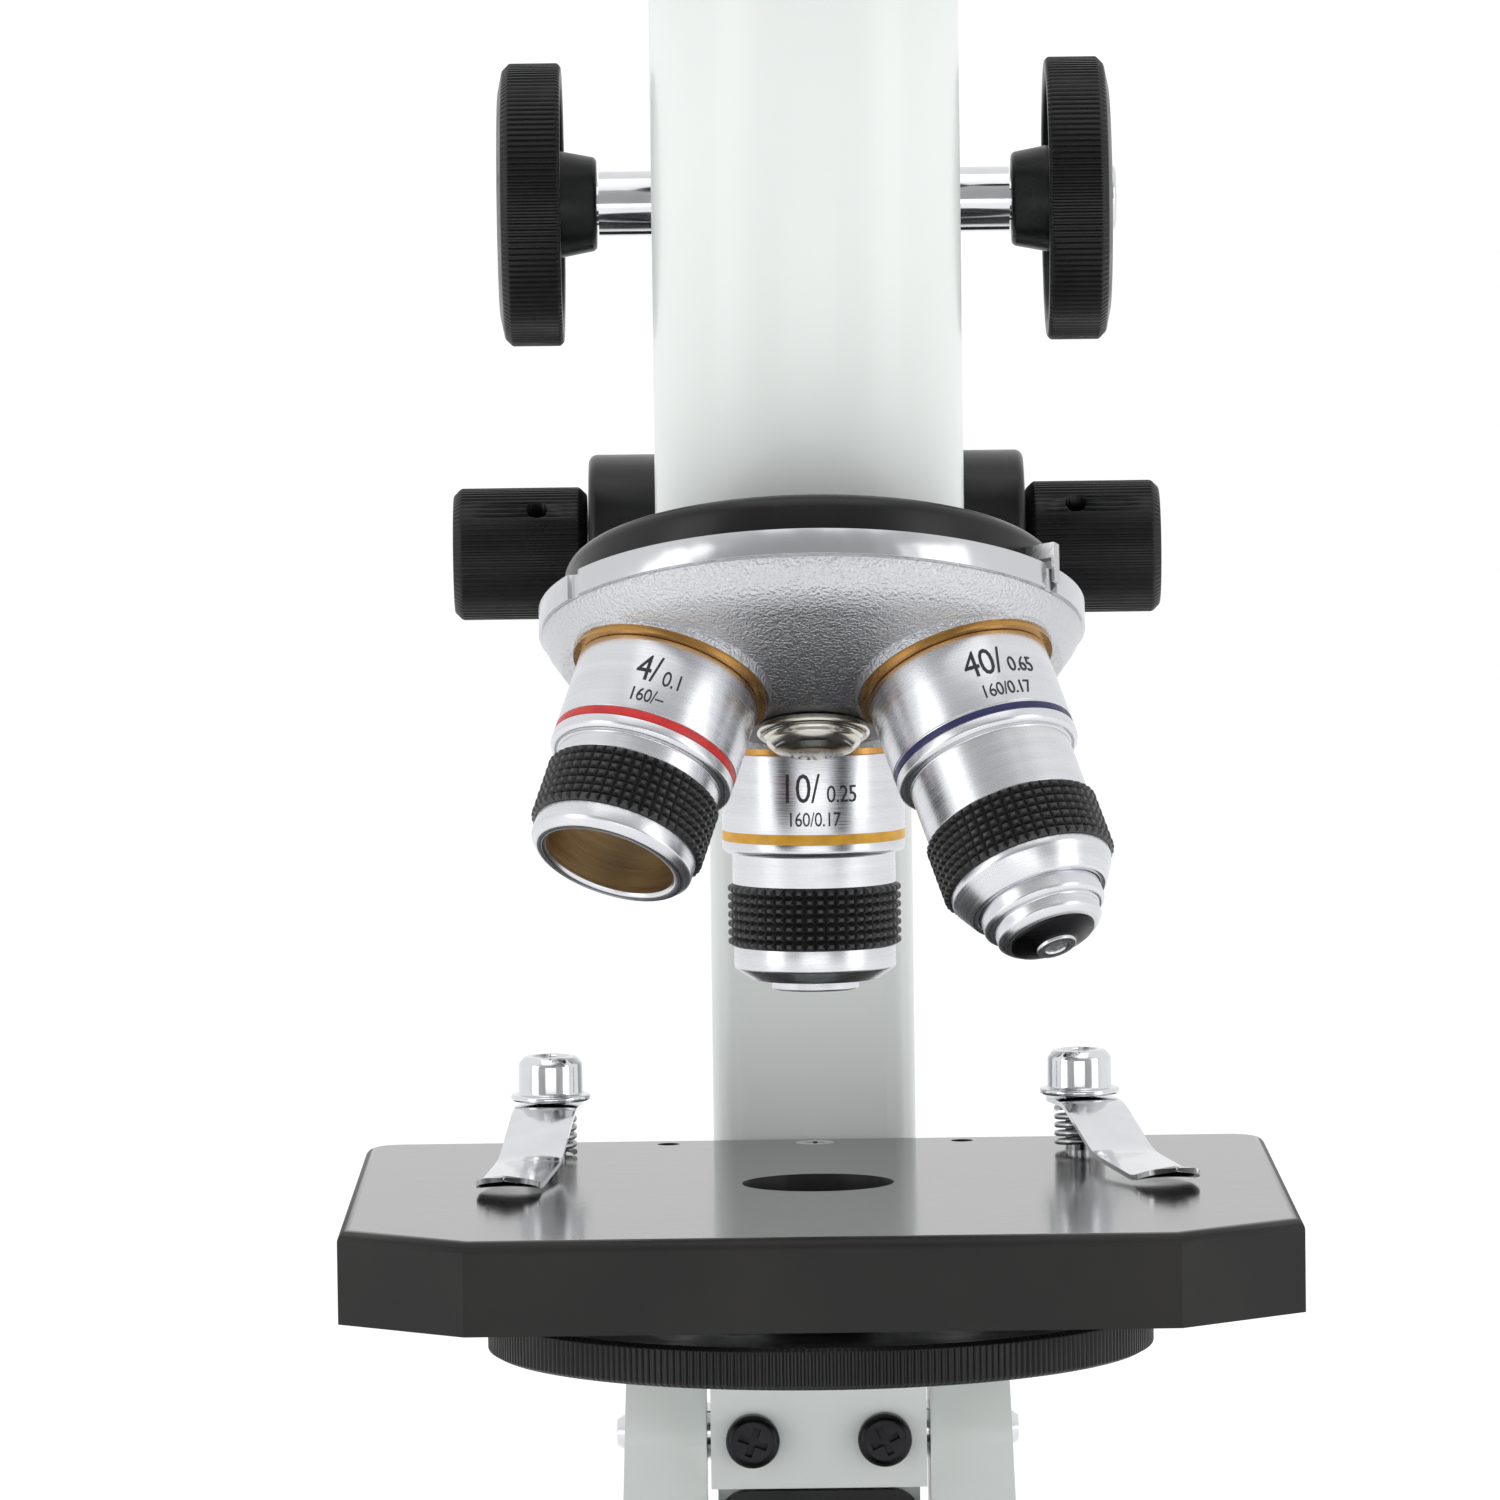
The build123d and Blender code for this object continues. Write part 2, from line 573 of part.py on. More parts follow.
def power_switch():
    half = SWITCH_KEY_LENGTH / 2
    side = Polygon((-half, -3), (half, -3), (half, 2.2), (0, 1.0), (-half, 2.2), align=None)
    key = plate_x(side, -SWITCH_KEY_WIDTH / 2, SWITCH_KEY_WIDTH / 2)
    return Pos(SWITCH_X, SWITCH_Y, BASE_TOP) * Rot(-SWITCH_REST_TILT, 0, 0) * key


# ================================================================ column, bracket and stage
def fine_hole(radius, x0, x1):
    return rod_x(radius, x0, x1, PIVOT_Y, FINE_Z)


def column_head_radius():
    return COLUMN_DEPTH / 2 + HEAD_BULGE


def bracket_screw_places():
    z = STAGE_TOP - BRACKET_SCREW_DROP
    return [(sx * BRACKET_SCREW_SPACING / 2, z) for sx in (-1, 1)]


def column():
    half = COLUMN_WIDTH / 2
    depth = COLUMN_DEPTH / 2
    shaft = block(-half, half, PIVOT_Y - depth, PIVOT_Y + depth, PIVOT_Z, FINE_Z)
    shaft = fillet(shaft.edges().filter_by(Axis.Z), COLUMN_ROUND)
    lug = rod_x(depth, -half, half, PIVOT_Y, PIVOT_Z)
    head = rod_x(column_head_radius(), -half, half, PIVOT_Y, FINE_Z)
    head = fillet(head.edges(), 1.0)
    flat = block(-half, half, PIVOT_Y - depth, PIVOT_Y, STAGE_TOP - FLANGE_DROP + 3, STAGE_TOP - STAGE_PLATE)
    body = shaft + lug + head + flat
    body -= rod_x(PIN_RADIUS + SHAFT_GAP, -half - 1, half + 1, PIVOT_Y, PIVOT_Z)
    floor = FINE_Z - CAVITY_DROP
    body -= block(-CAVITY_WIDTH / 2, CAVITY_WIDTH / 2, PIVOT_Y - CAVITY_DEPTH / 2, PIVOT_Y + CAVITY_DEPTH / 2,
                  floor, FINE_Z + 2 * column_head_radius())
    body -= fine_hole(FINE_BUSH_RADIUS + SEAT_GAP, -half - 1, half + 1)
    front = PIVOT_Y - depth
    for x, z in bracket_screw_places():
        body -= rod_y(BRACKET_SCREW_RADIUS + SEAT_GAP, front - 1, front + BRACKET_SCREW_GRIP + 1, x, z)
    return body


def shelf_top():
    return STAGE_TOP - STAGE_PLATE


def flange_back():
    return PIVOT_Y - COLUMN_DEPTH / 2


def stage_bracket():
    top = shelf_top()
    back = flange_back()
    front = back - FLANGE_THICK
    under = top - SHELF_THICK
    body = block(-FLANGE_WIDTH / 2, FLANGE_WIDTH / 2, front, back, STAGE_TOP - FLANGE_DROP, top)
    nose = disc_pivot_y() - 8
    arm = block(-SHELF_WIDTH / 2, SHELF_WIDTH / 2, nose, back, under, top)
    arm = fillet(arm.edges().filter_by(Axis.Z).group_by(Axis.Y)[0], 6.0)
    body += arm
    body += block(-SHELF_BACK_WIDTH / 2, SHELF_BACK_WIDTH / 2, front - 20, back, under, top)
    web = Polygon((front - 18, under), (front, under), (front, under - 24), align=None)
    body += plate_x(web, -WEB_HALF_WIDTH, WEB_HALF_WIDTH)
    body -= rod_z(CONDENSER_LIP, under - 1, top + 1, 0, OPTIC_Y)
    body -= rod_z(CONDENSER_RADIUS + SEAT_GAP, under + CONDENSER_SEAT, top + 1, 0, OPTIC_Y)
    body -= rod_z(DISC_SCREW_RADIUS + SEAT_GAP, under - 1, top, 0, disc_pivot_y())
    body -= rod_z(STAGE_TAP_RADIUS + SEAT_GAP, under - 1, top + 1, 0, OPTIC_Y + STAGE_TAP_BACK)
    for x, z in bracket_screw_places():
        body -= rod_y(BRACKET_SCREW_RADIUS + SLIDE_GAP, front - 1, back + 1, x, z)
    return body


def bracket_screws():
    face = flange_back() - FLANGE_THICK
    length = FLANGE_THICK + BRACKET_SCREW_GRIP
    screw = Rot(90, 0, 0) * pan_screw(BRACKET_HEAD_RADIUS, BRACKET_HEAD_HEIGHT, BRACKET_SCREW_RADIUS, length)
    turns = (20, 65)
    return grouped([Pos(x, face, z) * Rot(0, turn, 0) * screw
                    for (x, z), turn in zip(bracket_screw_places(), turns)])


def stage_outline(inset):
    """Plan of the stage, drawn in by inset, in the frame of the whole microscope."""
    half = STAGE_WIDTH / 2 - inset
    front = OPTIC_Y - STAGE_FRONT + inset
    back = OPTIC_Y + STAGE_BACK - inset
    trim = inset * math.tan(math.radians(22.5))
    cut_x = STAGE_CHAMFER_X - trim
    cut_y = STAGE_CHAMFER_Y - trim
    plan = Polygon((-half, back), (half, back), (half, front + cut_y), (half - cut_x, front),
                   (cut_x - half, front), (-half, front + cut_y), align=None)
    corner = STAGE_CORNER - inset
    plan = fillet(plan.vertices().group_by(Axis.Y)[-1], corner)
    return plan


def clip_post_places():
    y = OPTIC_Y + CLIP_POST_BACK
    return [(-CLIP_POST_X, y), (CLIP_POST_X, y)]


def stage_plate():
    top = STAGE_TOP
    skirt = top - STAGE_SKIRT
    body = plate_z(stage_outline(0), skirt, top)
    body = fillet(body.faces().sort_by(Axis.Z)[-1].edges(), STAGE_EDGE)
    body -= plate_z(stage_outline(STAGE_WALL), skirt - 1, top - STAGE_PLATE)
    back = OPTIC_Y + STAGE_BACK
    body -= block(-STAGE_NOTCH_WIDTH / 2, STAGE_NOTCH_WIDTH / 2, back - 2 * STAGE_WALL, back + 1,
                  skirt - 1, top - STAGE_PLATE)
    body -= rod_z(STAGE_HOLE_RADIUS, skirt, top + 1, 0, OPTIC_Y)
    tap_y = OPTIC_Y + STAGE_TAP_BACK
    for x in (-STAGE_TAP_SPACING / 2, STAGE_TAP_SPACING / 2):
        body -= rod_z(STAGE_TAP_RADIUS, skirt, top + 1, x, tap_y)
    sink = STAGE_SCREW_HEAD + SLIDE_GAP
    clear = STAGE_TAP_RADIUS + SLIDE_GAP
    depth = STAGE_SCREW_SINK + FREE_GAP / 4
    body -= Pos(0, tap_y, top) * turned([(0, 0.1), (sink, 0.1), (sink, 0), (clear, -depth), (0, -depth)])
    body -= rod_z(clear, skirt, top, 0, tap_y)
    for x, y in clip_post_places():
        body -= rod_z(CLIP_POST_RADIUS + SEAT_GAP, skirt, top + 1, x, y)
    return body


def stage_screw():
    outline = [(0, 0), (STAGE_SCREW_HEAD, 0), (STAGE_TAP_RADIUS, -STAGE_SCREW_SINK),
               (STAGE_TAP_RADIUS, -STAGE_SCREW_LENGTH), (0, -STAGE_SCREW_LENGTH)]
    screw = turned(outline)
    slot = block(-1.3, 1.3, -0.3, 0.3, -0.7, 1)
    screw = screw - slot - Rot(0, 0, 90) * slot
    return Pos(0, OPTIC_Y + STAGE_TAP_BACK, STAGE_TOP) * screw


def condenser_lens():
    radius = CONDENSER_RADIUS
    dome = 1.4
    ball = (radius ** 2 + dome ** 2) / (2 * dome)
    crown = (Pos(0, 0, dome - ball) * Sphere(ball)) & rod_z(radius, 0, dome + 1)
    lens = rod_z(radius, -CONDENSER_EDGE, 0) + crown
    seat = shelf_top() - SHELF_THICK + CONDENSER_SEAT
    return Pos(0, OPTIC_Y, seat + CONDENSER_EDGE) * lens


def disc_pivot_y():
    return OPTIC_Y - DISC_AHEAD


def disc_web_top():
    return STAGE_TOP - DISC_TOP_DROP - DISC_RECESS


def diaphragm_disc():
    top = STAGE_TOP - DISC_TOP_DROP
    bottom = top - DISC_THICK
    web_top = disc_web_top()
    hub_top = shelf_top() - SHELF_THICK - FREE_GAP
    rim_in = DISC_RADIUS - DISC_RIM
    bore = DISC_PIVOT_RADIUS + SHAFT_GAP
    web_under = web_top - DISC_WEB
    outline = [(bore, hub_top), (DISC_HUB, hub_top), (DISC_HUB, web_top), (rim_in, web_top), (rim_in, top),
               (DISC_RADIUS - 0.5, top), (DISC_RADIUS, top - 0.5), (DISC_RADIUS, bottom + 0.5),
               (DISC_RADIUS - 0.5, bottom), (rim_in, bottom), (rim_in, web_under), (bore, web_under)]
    disc = Pos(0, disc_pivot_y(), 0) * turned(outline)
    step = 360 / len(APERTURES)
    for i, radius in enumerate(reversed(APERTURES)):
        turn = math.radians(90 + i * step)
        x = DISC_AHEAD * math.cos(turn)
        y = disc_pivot_y() + DISC_AHEAD * math.sin(turn)
        disc -= rod_z(radius, bottom - 1, top + 1, x, y)
    return disc


def diaphragm_screw():
    web_under = disc_web_top() - DISC_WEB
    seat = shelf_top() - SHELF_THICK
    head = web_under - FREE_GAP
    tip = seat + SHELF_THICK - 0.5
    outline = [(0, head - 1.6), (4.2, head - 1.6), (4.6, head - 1.2), (4.6, head), (DISC_PIVOT_RADIUS, head),
               (DISC_PIVOT_RADIUS, seat), (DISC_SCREW_RADIUS, seat), (DISC_SCREW_RADIUS, tip), (0, tip)]
    screw = turned(outline) - block(-3, 3, -0.5, 0.5, head - 3, head - 0.8)
    return Pos(0, disc_pivot_y(), 0) * screw


# ================================================================ stage clips
def clip_posts():
    seat = CLIP_STRIP_TOP + FREE_GAP
    cap = seat + CLIP_WASHER_THICK
    top = cap + CLIP_CAP_HEIGHT
    outline = [(0, -STAGE_SKIRT + 2), (CLIP_POST_RADIUS, -STAGE_SKIRT + 2), (CLIP_POST_RADIUS, seat),
               (CLIP_WASHER_RADIUS, seat), (CLIP_WASHER_RADIUS, cap), (CLIP_CAP_RADIUS, cap),
               (CLIP_CAP_RADIUS, top - 1.0), (CLIP_CAP_RADIUS - 1.0, top), (0, top)]
    post = turned(outline)
    return grouped([Pos(x, y, STAGE_TOP) * post for x, y in clip_post_places()])


def clip_springs():
    height = CLIP_STRIP_TOP - CLIP_STRIP_THICK - 2 * FREE_GAP - CLIP_WIRE
    path = Helix(pitch=height / CLIP_COIL_TURNS, height=height, radius=CLIP_COIL_RADIUS)
    start = Plane(origin=path @ 0, z_dir=path % 0)
    coil = sweep(start * Circle(CLIP_WIRE / 2), path=path, is_frenet=True)
    base = STAGE_TOP + FREE_GAP / 3 + CLIP_WIRE / 2
    return grouped([Pos(x, y, base) * coil for x, y in clip_post_places()])


def clip_strip(x, y, turn):
    """Spring strip: flat at the post, bent down to the slide, with a raised rounded tip."""
    under = CLIP_STRIP_TOP - CLIP_STRIP_THICK
    reach = CLIP_STRIP_LENGTH - CLIP_TAIL
    line = [(-CLIP_TAIL, under), (CLIP_FLAT, under), (CLIP_BEND, 1.3), (reach - CLIP_TIP, 0.3), (reach, 2.0)]
    top = [(along, height + CLIP_STRIP_THICK) for along, height in reversed(line)]
    side = Polygon(*line, *top, align=None)
    body = extrude(Plane.XZ * side, CLIP_STRIP_WIDTH / 2, both=True)
    plan = Pos((reach - CLIP_TAIL) / 2, 0) * SlotOverall(CLIP_STRIP_LENGTH, CLIP_STRIP_WIDTH)
    body = body & plate_z(plan, -1, CLIP_STRIP_TOP + 1)
    body -= rod_z(CLIP_POST_RADIUS + FREE_GAP, 0, CLIP_STRIP_TOP + 1)
    return Pos(x, y, STAGE_TOP) * Rot(0, 0, turn - 90) * body


def left_clip():
    x, y = clip_post_places()[0]
    return clip_strip(x, y, CLIP_LEFT_TURN)


def right_clip():
    x, y = clip_post_places()[1]
    return clip_strip(x, y, CLIP_RIGHT_TURN)


# ================================================================ fine focus
def focus_drum():
    inner = COLUMN_WIDTH / 2
    outer = DRUM_WIDTH / 2
    drum = fine_hole(DRUM_RADIUS, inner, outer)
    drum = fillet(drum.edges().filter_by(GeomType.CIRCLE).sort_by(Axis.X)[-1], 1.2)
    drum -= fine_hole(FINE_BUSH_RADIUS + SEAT_GAP, inner - 1, outer + 1)
    return grouped(both_sides(drum))


def fine_bushes():
    inner = CAVITY_WIDTH / 2
    bush = fine_hole(FINE_BUSH_RADIUS, inner, FINE_BUSH_END)
    bush -= fine_hole(FINE_SHAFT_RADIUS + SHAFT_GAP, inner - 1, FINE_BUSH_END + 1)
    return grouped(both_sides(bush))


def fine_knob_inner():
    return DRUM_WIDTH / 2 + FREE_GAP


def fine_shaft():
    end = fine_knob_inner() + FINE_KNOB_LENGTH - FINE_KNOB_END
    return fine_hole(FINE_SHAFT_RADIUS, -end, end)


def along_set_screw(part):
    """Place a part drawn up +Z from the knob's axis along its set screw, forward and up."""
    return Pos(fine_knob_inner() + FINE_SCREW_INSET, PIVOT_Y, FINE_Z) * Rot(45, 0, 0) * part


def right_fine_knob():
    inner = fine_knob_inner()
    outer = inner + FINE_KNOB_LENGTH
    knob = fine_hole(FINE_KNOB_RADIUS, inner, outer)
    knob = chamfer(knob.edges().filter_by(GeomType.CIRCLE), FINE_KNOB_CHAMFER)
    knob -= fine_hole(FINE_SHAFT_RADIUS + SEAT_GAP, inner - 1, outer - FINE_KNOB_END)
    knob -= fine_hole(FINE_KNOB_RADIUS - 2.2, outer - 0.6, outer + 1)
    knob -= along_set_screw(rod_z(FINE_SCREW_RADIUS + SEAT_GAP, 0, FINE_KNOB_RADIUS + 1))
    return knob


def left_fine_knob():
    return mirror(right_fine_knob(), Plane.YZ)


def fine_set_screws():
    start = FINE_SHAFT_RADIUS + SEAT_GAP
    screw = rod_z(FINE_SCREW_RADIUS, start, start + FINE_SCREW_LENGTH)
    socket = extrude(RegularPolygon(0.8, 6), 2)
    screw -= Pos(0, 0, start + 0.6 * FINE_SCREW_LENGTH) * socket
    return grouped(both_sides(along_set_screw(screw)))


def wedge_face(x):
    """Height of the wedge's sloping top at x."""
    return FINE_Z + WEDGE_RISE - WEDGE_SLOPE * x


def fine_wedge():
    half = WEDGE_WIDTH / 2
    side = Polygon((-half, FINE_Z - WEDGE_RISE), (half, FINE_Z - WEDGE_RISE), (half, wedge_face(half)),
                   (-half, wedge_face(-half)), align=None)
    wedge = extrude(Plane.XZ * side, WEDGE_DEPTH / 2, both=True)
    wedge = Pos(0, PIVOT_Y, 0) * wedge
    return wedge - fine_hole(FINE_SHAFT_RADIUS + SHAFT_GAP, -half - 1, half + 1)


# ================================================================ limb
def limb_foot():
    return FINE_Z + column_head_radius() + LIMB_GAP


def pinion_outer():
    return GEAR_MODULE * PINION_TEETH / 2 + ADDENDUM


def coarse_y():
    return OPTIC_Y + COARSE_BACK


def pitch_plane():
    """Y of the rack's pitch plane, on the front side of the pinion."""
    return coarse_y() - GEAR_MODULE * PINION_TEETH / 2


def rack_tip():
    return pitch_plane() + ADDENDUM


def rack_root():
    return pitch_plane() - DEDENDUM


def pinion_pocket():
    reach = PINION_WIDTH / 2 + 1
    return rod_x(pinion_outer() + 1, -reach, reach, coarse_y(), COARSE_Z)


def limb():
    half = COLUMN_WIDTH / 2
    y0 = PIVOT_Y - COLUMN_DEPTH / 2
    y1 = PIVOT_Y + COLUMN_DEPTH / 2
    front = OPTIC_Y + LIMB_FRONT
    foot = limb_foot()
    side = Polygon((y0, foot), (y1, foot), (y1, LIMB_TOP), (front, LIMB_TOP), (front, LIMB_UNDER),
                   (y0, LIMB_UNDER), align=None)
    back = side.vertices().sort_by_distance((y1, LIMB_TOP, 0))[0]
    side = fillet(back, LIMB_BACK_ROUND)
    corner = side.vertices().sort_by_distance((y0, LIMB_UNDER, 0))[0]
    side = fillet(corner, 3.0)
    body = plate_x(side, -half, half)
    rear = [edge for edge in body.edges() if edge.center().Y > y0 and abs(abs(edge.center().X) - half) < 0.01
            and edge.center().Z > foot + 1]
    body = fillet(rear, COLUMN_ROUND)
    body += limb_tongue()
    body -= rod_x(SLEEVE_RADIUS + SEAT_GAP, -half - 1, half + 1, coarse_y(), COARSE_Z)
    return body - pinion_pocket()


def limb_tongue():
    """Block and two legs that guide the limb in the column and rest on the wedge."""
    half = CAVITY_WIDTH / 2 - SLIDE_GAP
    y0 = PIVOT_Y - CAVITY_DEPTH / 2 + SLIDE_GAP
    y1 = PIVOT_Y + CAVITY_DEPTH / 2 - SLIDE_GAP
    top = limb_foot() + 1
    face = Polygon((-half, wedge_face(-half) + FREE_GAP), (half, wedge_face(half) + FREE_GAP),
                   (half, top), (-half, top), align=None)
    tongue = Pos(0, y1, 0) * extrude(Plane.XZ * face, y1 - y0)
    legs = block(-half, half, y0, y0 + LEG_THICK, FINE_Z - LEG_DROP, top)
    legs += block(-half, half, y1 - LEG_THICK, y1, FINE_Z - LEG_DROP, top)
    return tongue + legs


def coarse_guide():
    front = OPTIC_Y + GUIDE_FRONT
    back = OPTIC_Y + LIMB_FRONT
    body = block(-GUIDE_WIDTH / 2, GUIDE_WIDTH / 2, front, back, GUIDE_BOTTOM, LIMB_TOP)
    body -= dovetail(front, SLIDE_GAP, GUIDE_BOTTOM - 1, LIMB_TOP + 1)
    reach = PINION_WIDTH / 2 + FREE_GAP
    body -= block(-reach, reach, front, rack_tip() + FREE_GAP, GUIDE_BOTTOM - 1, LIMB_TOP + 1)
    body -= rod_x(SLEEVE_RADIUS + SEAT_GAP, -GUIDE_WIDTH, GUIDE_WIDTH, coarse_y(), COARSE_Z)
    return body - pinion_pocket()


def dovetail(front, grow, z0, z1):
    """Dovetail bar whose neck starts at front, made larger by grow all round."""
    slope = (DOVETAIL_FOOT - DOVETAIL_NECK) / DOVETAIL_DEPTH
    neck = DOVETAIL_NECK + grow - slope
    foot = DOVETAIL_FOOT + grow
    depth = DOVETAIL_DEPTH + grow
    plan = Polygon((-neck, front - 1), (neck, front - 1), (foot, front + depth), (-foot, front + depth), align=None)
    return plate_z(plan, z0, z1)


def coarse_sleeves():
    inner = PINION_WIDTH / 2 + 2
    sleeve = rod_x(SLEEVE_RADIUS, inner, SLEEVE_END, coarse_y(), COARSE_Z)
    sleeve -= rod_x(COARSE_SHAFT_RADIUS + SHAFT_GAP, inner - 1, SLEEVE_END + 1, coarse_y(), COARSE_Z)
    return grouped(both_sides(sleeve))


# ================================================================ coarse focus
def involute_point(base, radius, start):
    """Point at a radius on the upper flank, an involute that leaves its base circle at the angle start."""
    roll = math.sqrt(max((radius / base) ** 2 - 1, 0))
    turn = start - roll + math.atan(roll)
    return radius * math.cos(turn), radius * math.sin(turn)


def pinion_face():
    """Gear outline with involute flanks, thinned by the backlash."""
    pitch = GEAR_MODULE * PINION_TEETH / 2
    pressure = math.radians(PRESSURE_ANGLE)
    base = pitch * math.cos(pressure)
    tip = pitch + ADDENDUM
    root = pitch - DEDENDUM
    half_angle = math.pi / (2 * PINION_TEETH) - BACKLASH / (2 * pitch)
    flank = [involute_point(base, base + (tip - base) * i / 4, half_angle + math.tan(pressure) - pressure)
             for i in range(5)]
    inside = 0.8 * root
    angle = math.atan2(flank[0][1], flank[0][0])
    upper = [(inside * math.cos(angle), inside * math.sin(angle))] + flank
    lower = [(x, -y) for x, y in upper]
    tooth = Polygon(*lower, *reversed(upper), align=None)
    face = Circle(root)
    for i in range(PINION_TEETH):
        face += Rot(0, 0, 360 * i / PINION_TEETH) * tooth
    return face


def coarse_shaft():
    """Knob shaft with the pinion cut on it and a polished button on its right end."""
    y = coarse_y()
    shaft = rod_x(COARSE_SHAFT_RADIUS, -COARSE_KNOB_OUTER + 3, COARSE_KNOB_OUTER, y, COARSE_Z)
    button = rod_x(CAP_RADIUS, COARSE_KNOB_OUTER, COARSE_KNOB_OUTER + CAP_PROUD, y, COARSE_Z)
    button = fillet(button.edges().filter_by(GeomType.CIRCLE).sort_by(Axis.X)[-1], 0.6)
    gear = extrude(pinion_face(), PINION_WIDTH / 2, both=True)
    gear = Pos(0, y, COARSE_Z) * Rot(0, 90, 0) * Rot(0, 0, 90) * gear
    return shaft + button + gear


def right_coarse_knob():
    y = coarse_y()
    rim = COARSE_KNOB_RADIUS
    inner = COARSE_KNOB_INNER
    outer = COARSE_KNOB_OUTER
    wall = COARSE_KNOB_WALL
    outline = [(0, inner - HUB_LENGTH), (HUB_END_RADIUS - 0.4, inner - HUB_LENGTH),
               (HUB_END_RADIUS, inner - HUB_LENGTH + 0.4), (HUB_RADIUS, inner), (HUB_RADIUS, outer - wall - 1),
               (rim - wall, outer - wall - 1), (rim - wall, inner), (rim, inner), (rim, outer - 1.6),
               (rim - 1.0, outer - 0.6), (rim - 4.5, outer), (0, outer)]
    knob = Pos(0, y, COARSE_Z) * Rot(0, 90, 0) * turned(outline)
    return knob - rod_x(COARSE_SHAFT_RADIUS + SEAT_GAP, 0, outer + 1, y, COARSE_Z)


def left_coarse_knob():
    y = coarse_y()
    knob = mirror(right_coarse_knob(), Plane.YZ)
    plug = rod_x(COARSE_SHAFT_RADIUS + 2, -COARSE_KNOB_OUTER, -COARSE_KNOB_OUTER + 2.5, y, COARSE_Z)
    return knob + plug


def rack():
    """Straight toothed bar that meets the pinion on the pinion's front side."""
    pitch = math.pi * GEAR_MODULE
    tip = rack_tip()
    root = rack_root()
    slope = math.tan(math.radians(PRESSURE_ANGLE))
    half = pitch / 4 - BACKLASH / 2
    body = block(-PINION_WIDTH / 2, PINION_WIDTH / 2, root - RACK_BODY, root, RACK_BOTTOM, RACK_TOP)
    first = math.ceil((RACK_BOTTOM - COARSE_Z) / pitch) + 0.5
    count = int((RACK_TOP - RACK_BOTTOM) / pitch) - 1
    sunk = DEDENDUM + 0.2
    side = Polygon((root - 0.2, -half - sunk * slope), (root - 0.2, half + sunk * slope),
                   (tip, half - ADDENDUM * slope), (tip, ADDENDUM * slope - half), align=None)
    tooth = plate_x(side, -PINION_WIDTH / 2, PINION_WIDTH / 2)
    return body + [Pos(0, 0, COARSE_Z + (first + i) * pitch) * tooth for i in range(count)]


def tube_slide():
    front = OPTIC_Y + GUIDE_FRONT
    pad_front = OPTIC_Y + SLIDE_PAD_FRONT
    pad_back = front - FREE_GAP
    body = block(-SLIDE_PAD_WIDTH / 2, SLIDE_PAD_WIDTH / 2, pad_front, pad_back, SLIDE_BOTTOM, SLIDE_TOP)
    body += dovetail(front, 0, SLIDE_BOTTOM, SLIDE_TOP)
    body -= rod_z(TUBE_RADIUS + SEAT_GAP, SLIDE_BOTTOM - 1, SLIDE_TOP + 1, 0, OPTIC_Y)
    reach = PINION_WIDTH / 2 + SEAT_GAP
    seat = rack_root() - RACK_BODY - SEAT_GAP
    body -= block(-reach, reach, seat, front + DOVETAIL_DEPTH + 1, RACK_BOTTOM - SEAT_GAP, RACK_TOP + SEAT_GAP)
    return body


# ================================================================ tube and nosepiece
def on_nose_axis(part):
    """Place a part drawn with the apex at the origin and the turret axis down -Z."""
    return Pos(0, OPTIC_Y, NOSE_APEX) * Rot(-NOSE_TILT, 0, 0) * part


def at_station(part, index):
    """Place a part drawn down -Z from the apex on one of the three objective axes."""
    return on_nose_axis(Rot(0, 0, 120 * index) * Rot(NOSE_TILT, 0, 0) * part)


def nose_slab(t0, t1, radius):
    return on_nose_axis(rod_z(radius, -t1, -t0))


def body_tube():
    outer = rod_z(TUBE_RADIUS, TUBE_START, TUBE_TOP, 0, OPTIC_Y)
    bore = rod_z(TUBE_RADIUS - TUBE_WALL, TUBE_START - 1, TUBE_TOP + 1, 0, OPTIC_Y)
    below = nose_slab(RING_START, RING_START + 120, 120)
    return outer - bore - below


def nosepiece_ring():
    ring = rod_z(RING_RADIUS, -RING_END, -RING_START)
    ring = fillet(ring.edges().sort_by(Axis.Z)[-1], RING_ROUND)
    ring += rod_z(HUB_POST_RADIUS, -HUB_POST_END, -RING_END)
    ring -= rod_z(PIVOT_THREAD_RADIUS + SEAT_GAP, -HUB_POST_END - 1, -HUB_POST_END + PIVOT_THREAD_LENGTH + 0.5)
    ring = on_nose_axis(ring)
    foot = rod_z(TUBE_RADIUS, TUBE_START, TUBE_TOP, 0, OPTIC_Y) & nose_slab(RING_START, RING_START + RING_FOOT, 120)
    ring += foot
    return ring - rod_z(LIGHT_RADIUS, TUBE_START, TUBE_TOP, 0, OPTIC_Y)


def detent_spring():
    """Small leaf on the ring's side, just outside the turret's rim, at the right front station."""
    half = LEAF_WIDTH / 2
    leaf = TURRET_RADIUS + LEAF_STAND
    outer = leaf + LEAF_THICK
    piece = block(-half, half, RING_RADIUS + SEAT_GAP, outer, -LEAF_STEP, -LEAF_TOP)
    piece += block(-half, half, leaf, outer, -LEAF_END, -LEAF_TOP)
    return on_nose_axis(Rot(0, 0, 240) * piece)


def turret_screw():
    tip = PIVOT_THREAD_LENGTH - HUB_POST_END
    face = -TURRET_FACE - FREE_GAP / 2
    washer = face - PIVOT_WASHER_THICK
    outline = [(0, tip), (PIVOT_THREAD_RADIUS, tip), (PIVOT_THREAD_RADIUS, -HUB_POST_END),
               (PIVOT_SHOULDER, -HUB_POST_END), (PIVOT_SHOULDER, face), (PIVOT_WASHER_RADIUS, face),
               (PIVOT_WASHER_RADIUS, washer + 0.3), (PIVOT_WASHER_RADIUS - 0.3, washer), (PIVOT_DOME_RADIUS, washer),
               (PIVOT_DOME_RADIUS, washer - 1.2), (PIVOT_DOME_RADIUS - 1.2, washer - 2.1), (0, washer - 2.3)]
    return on_nose_axis(turned(outline))


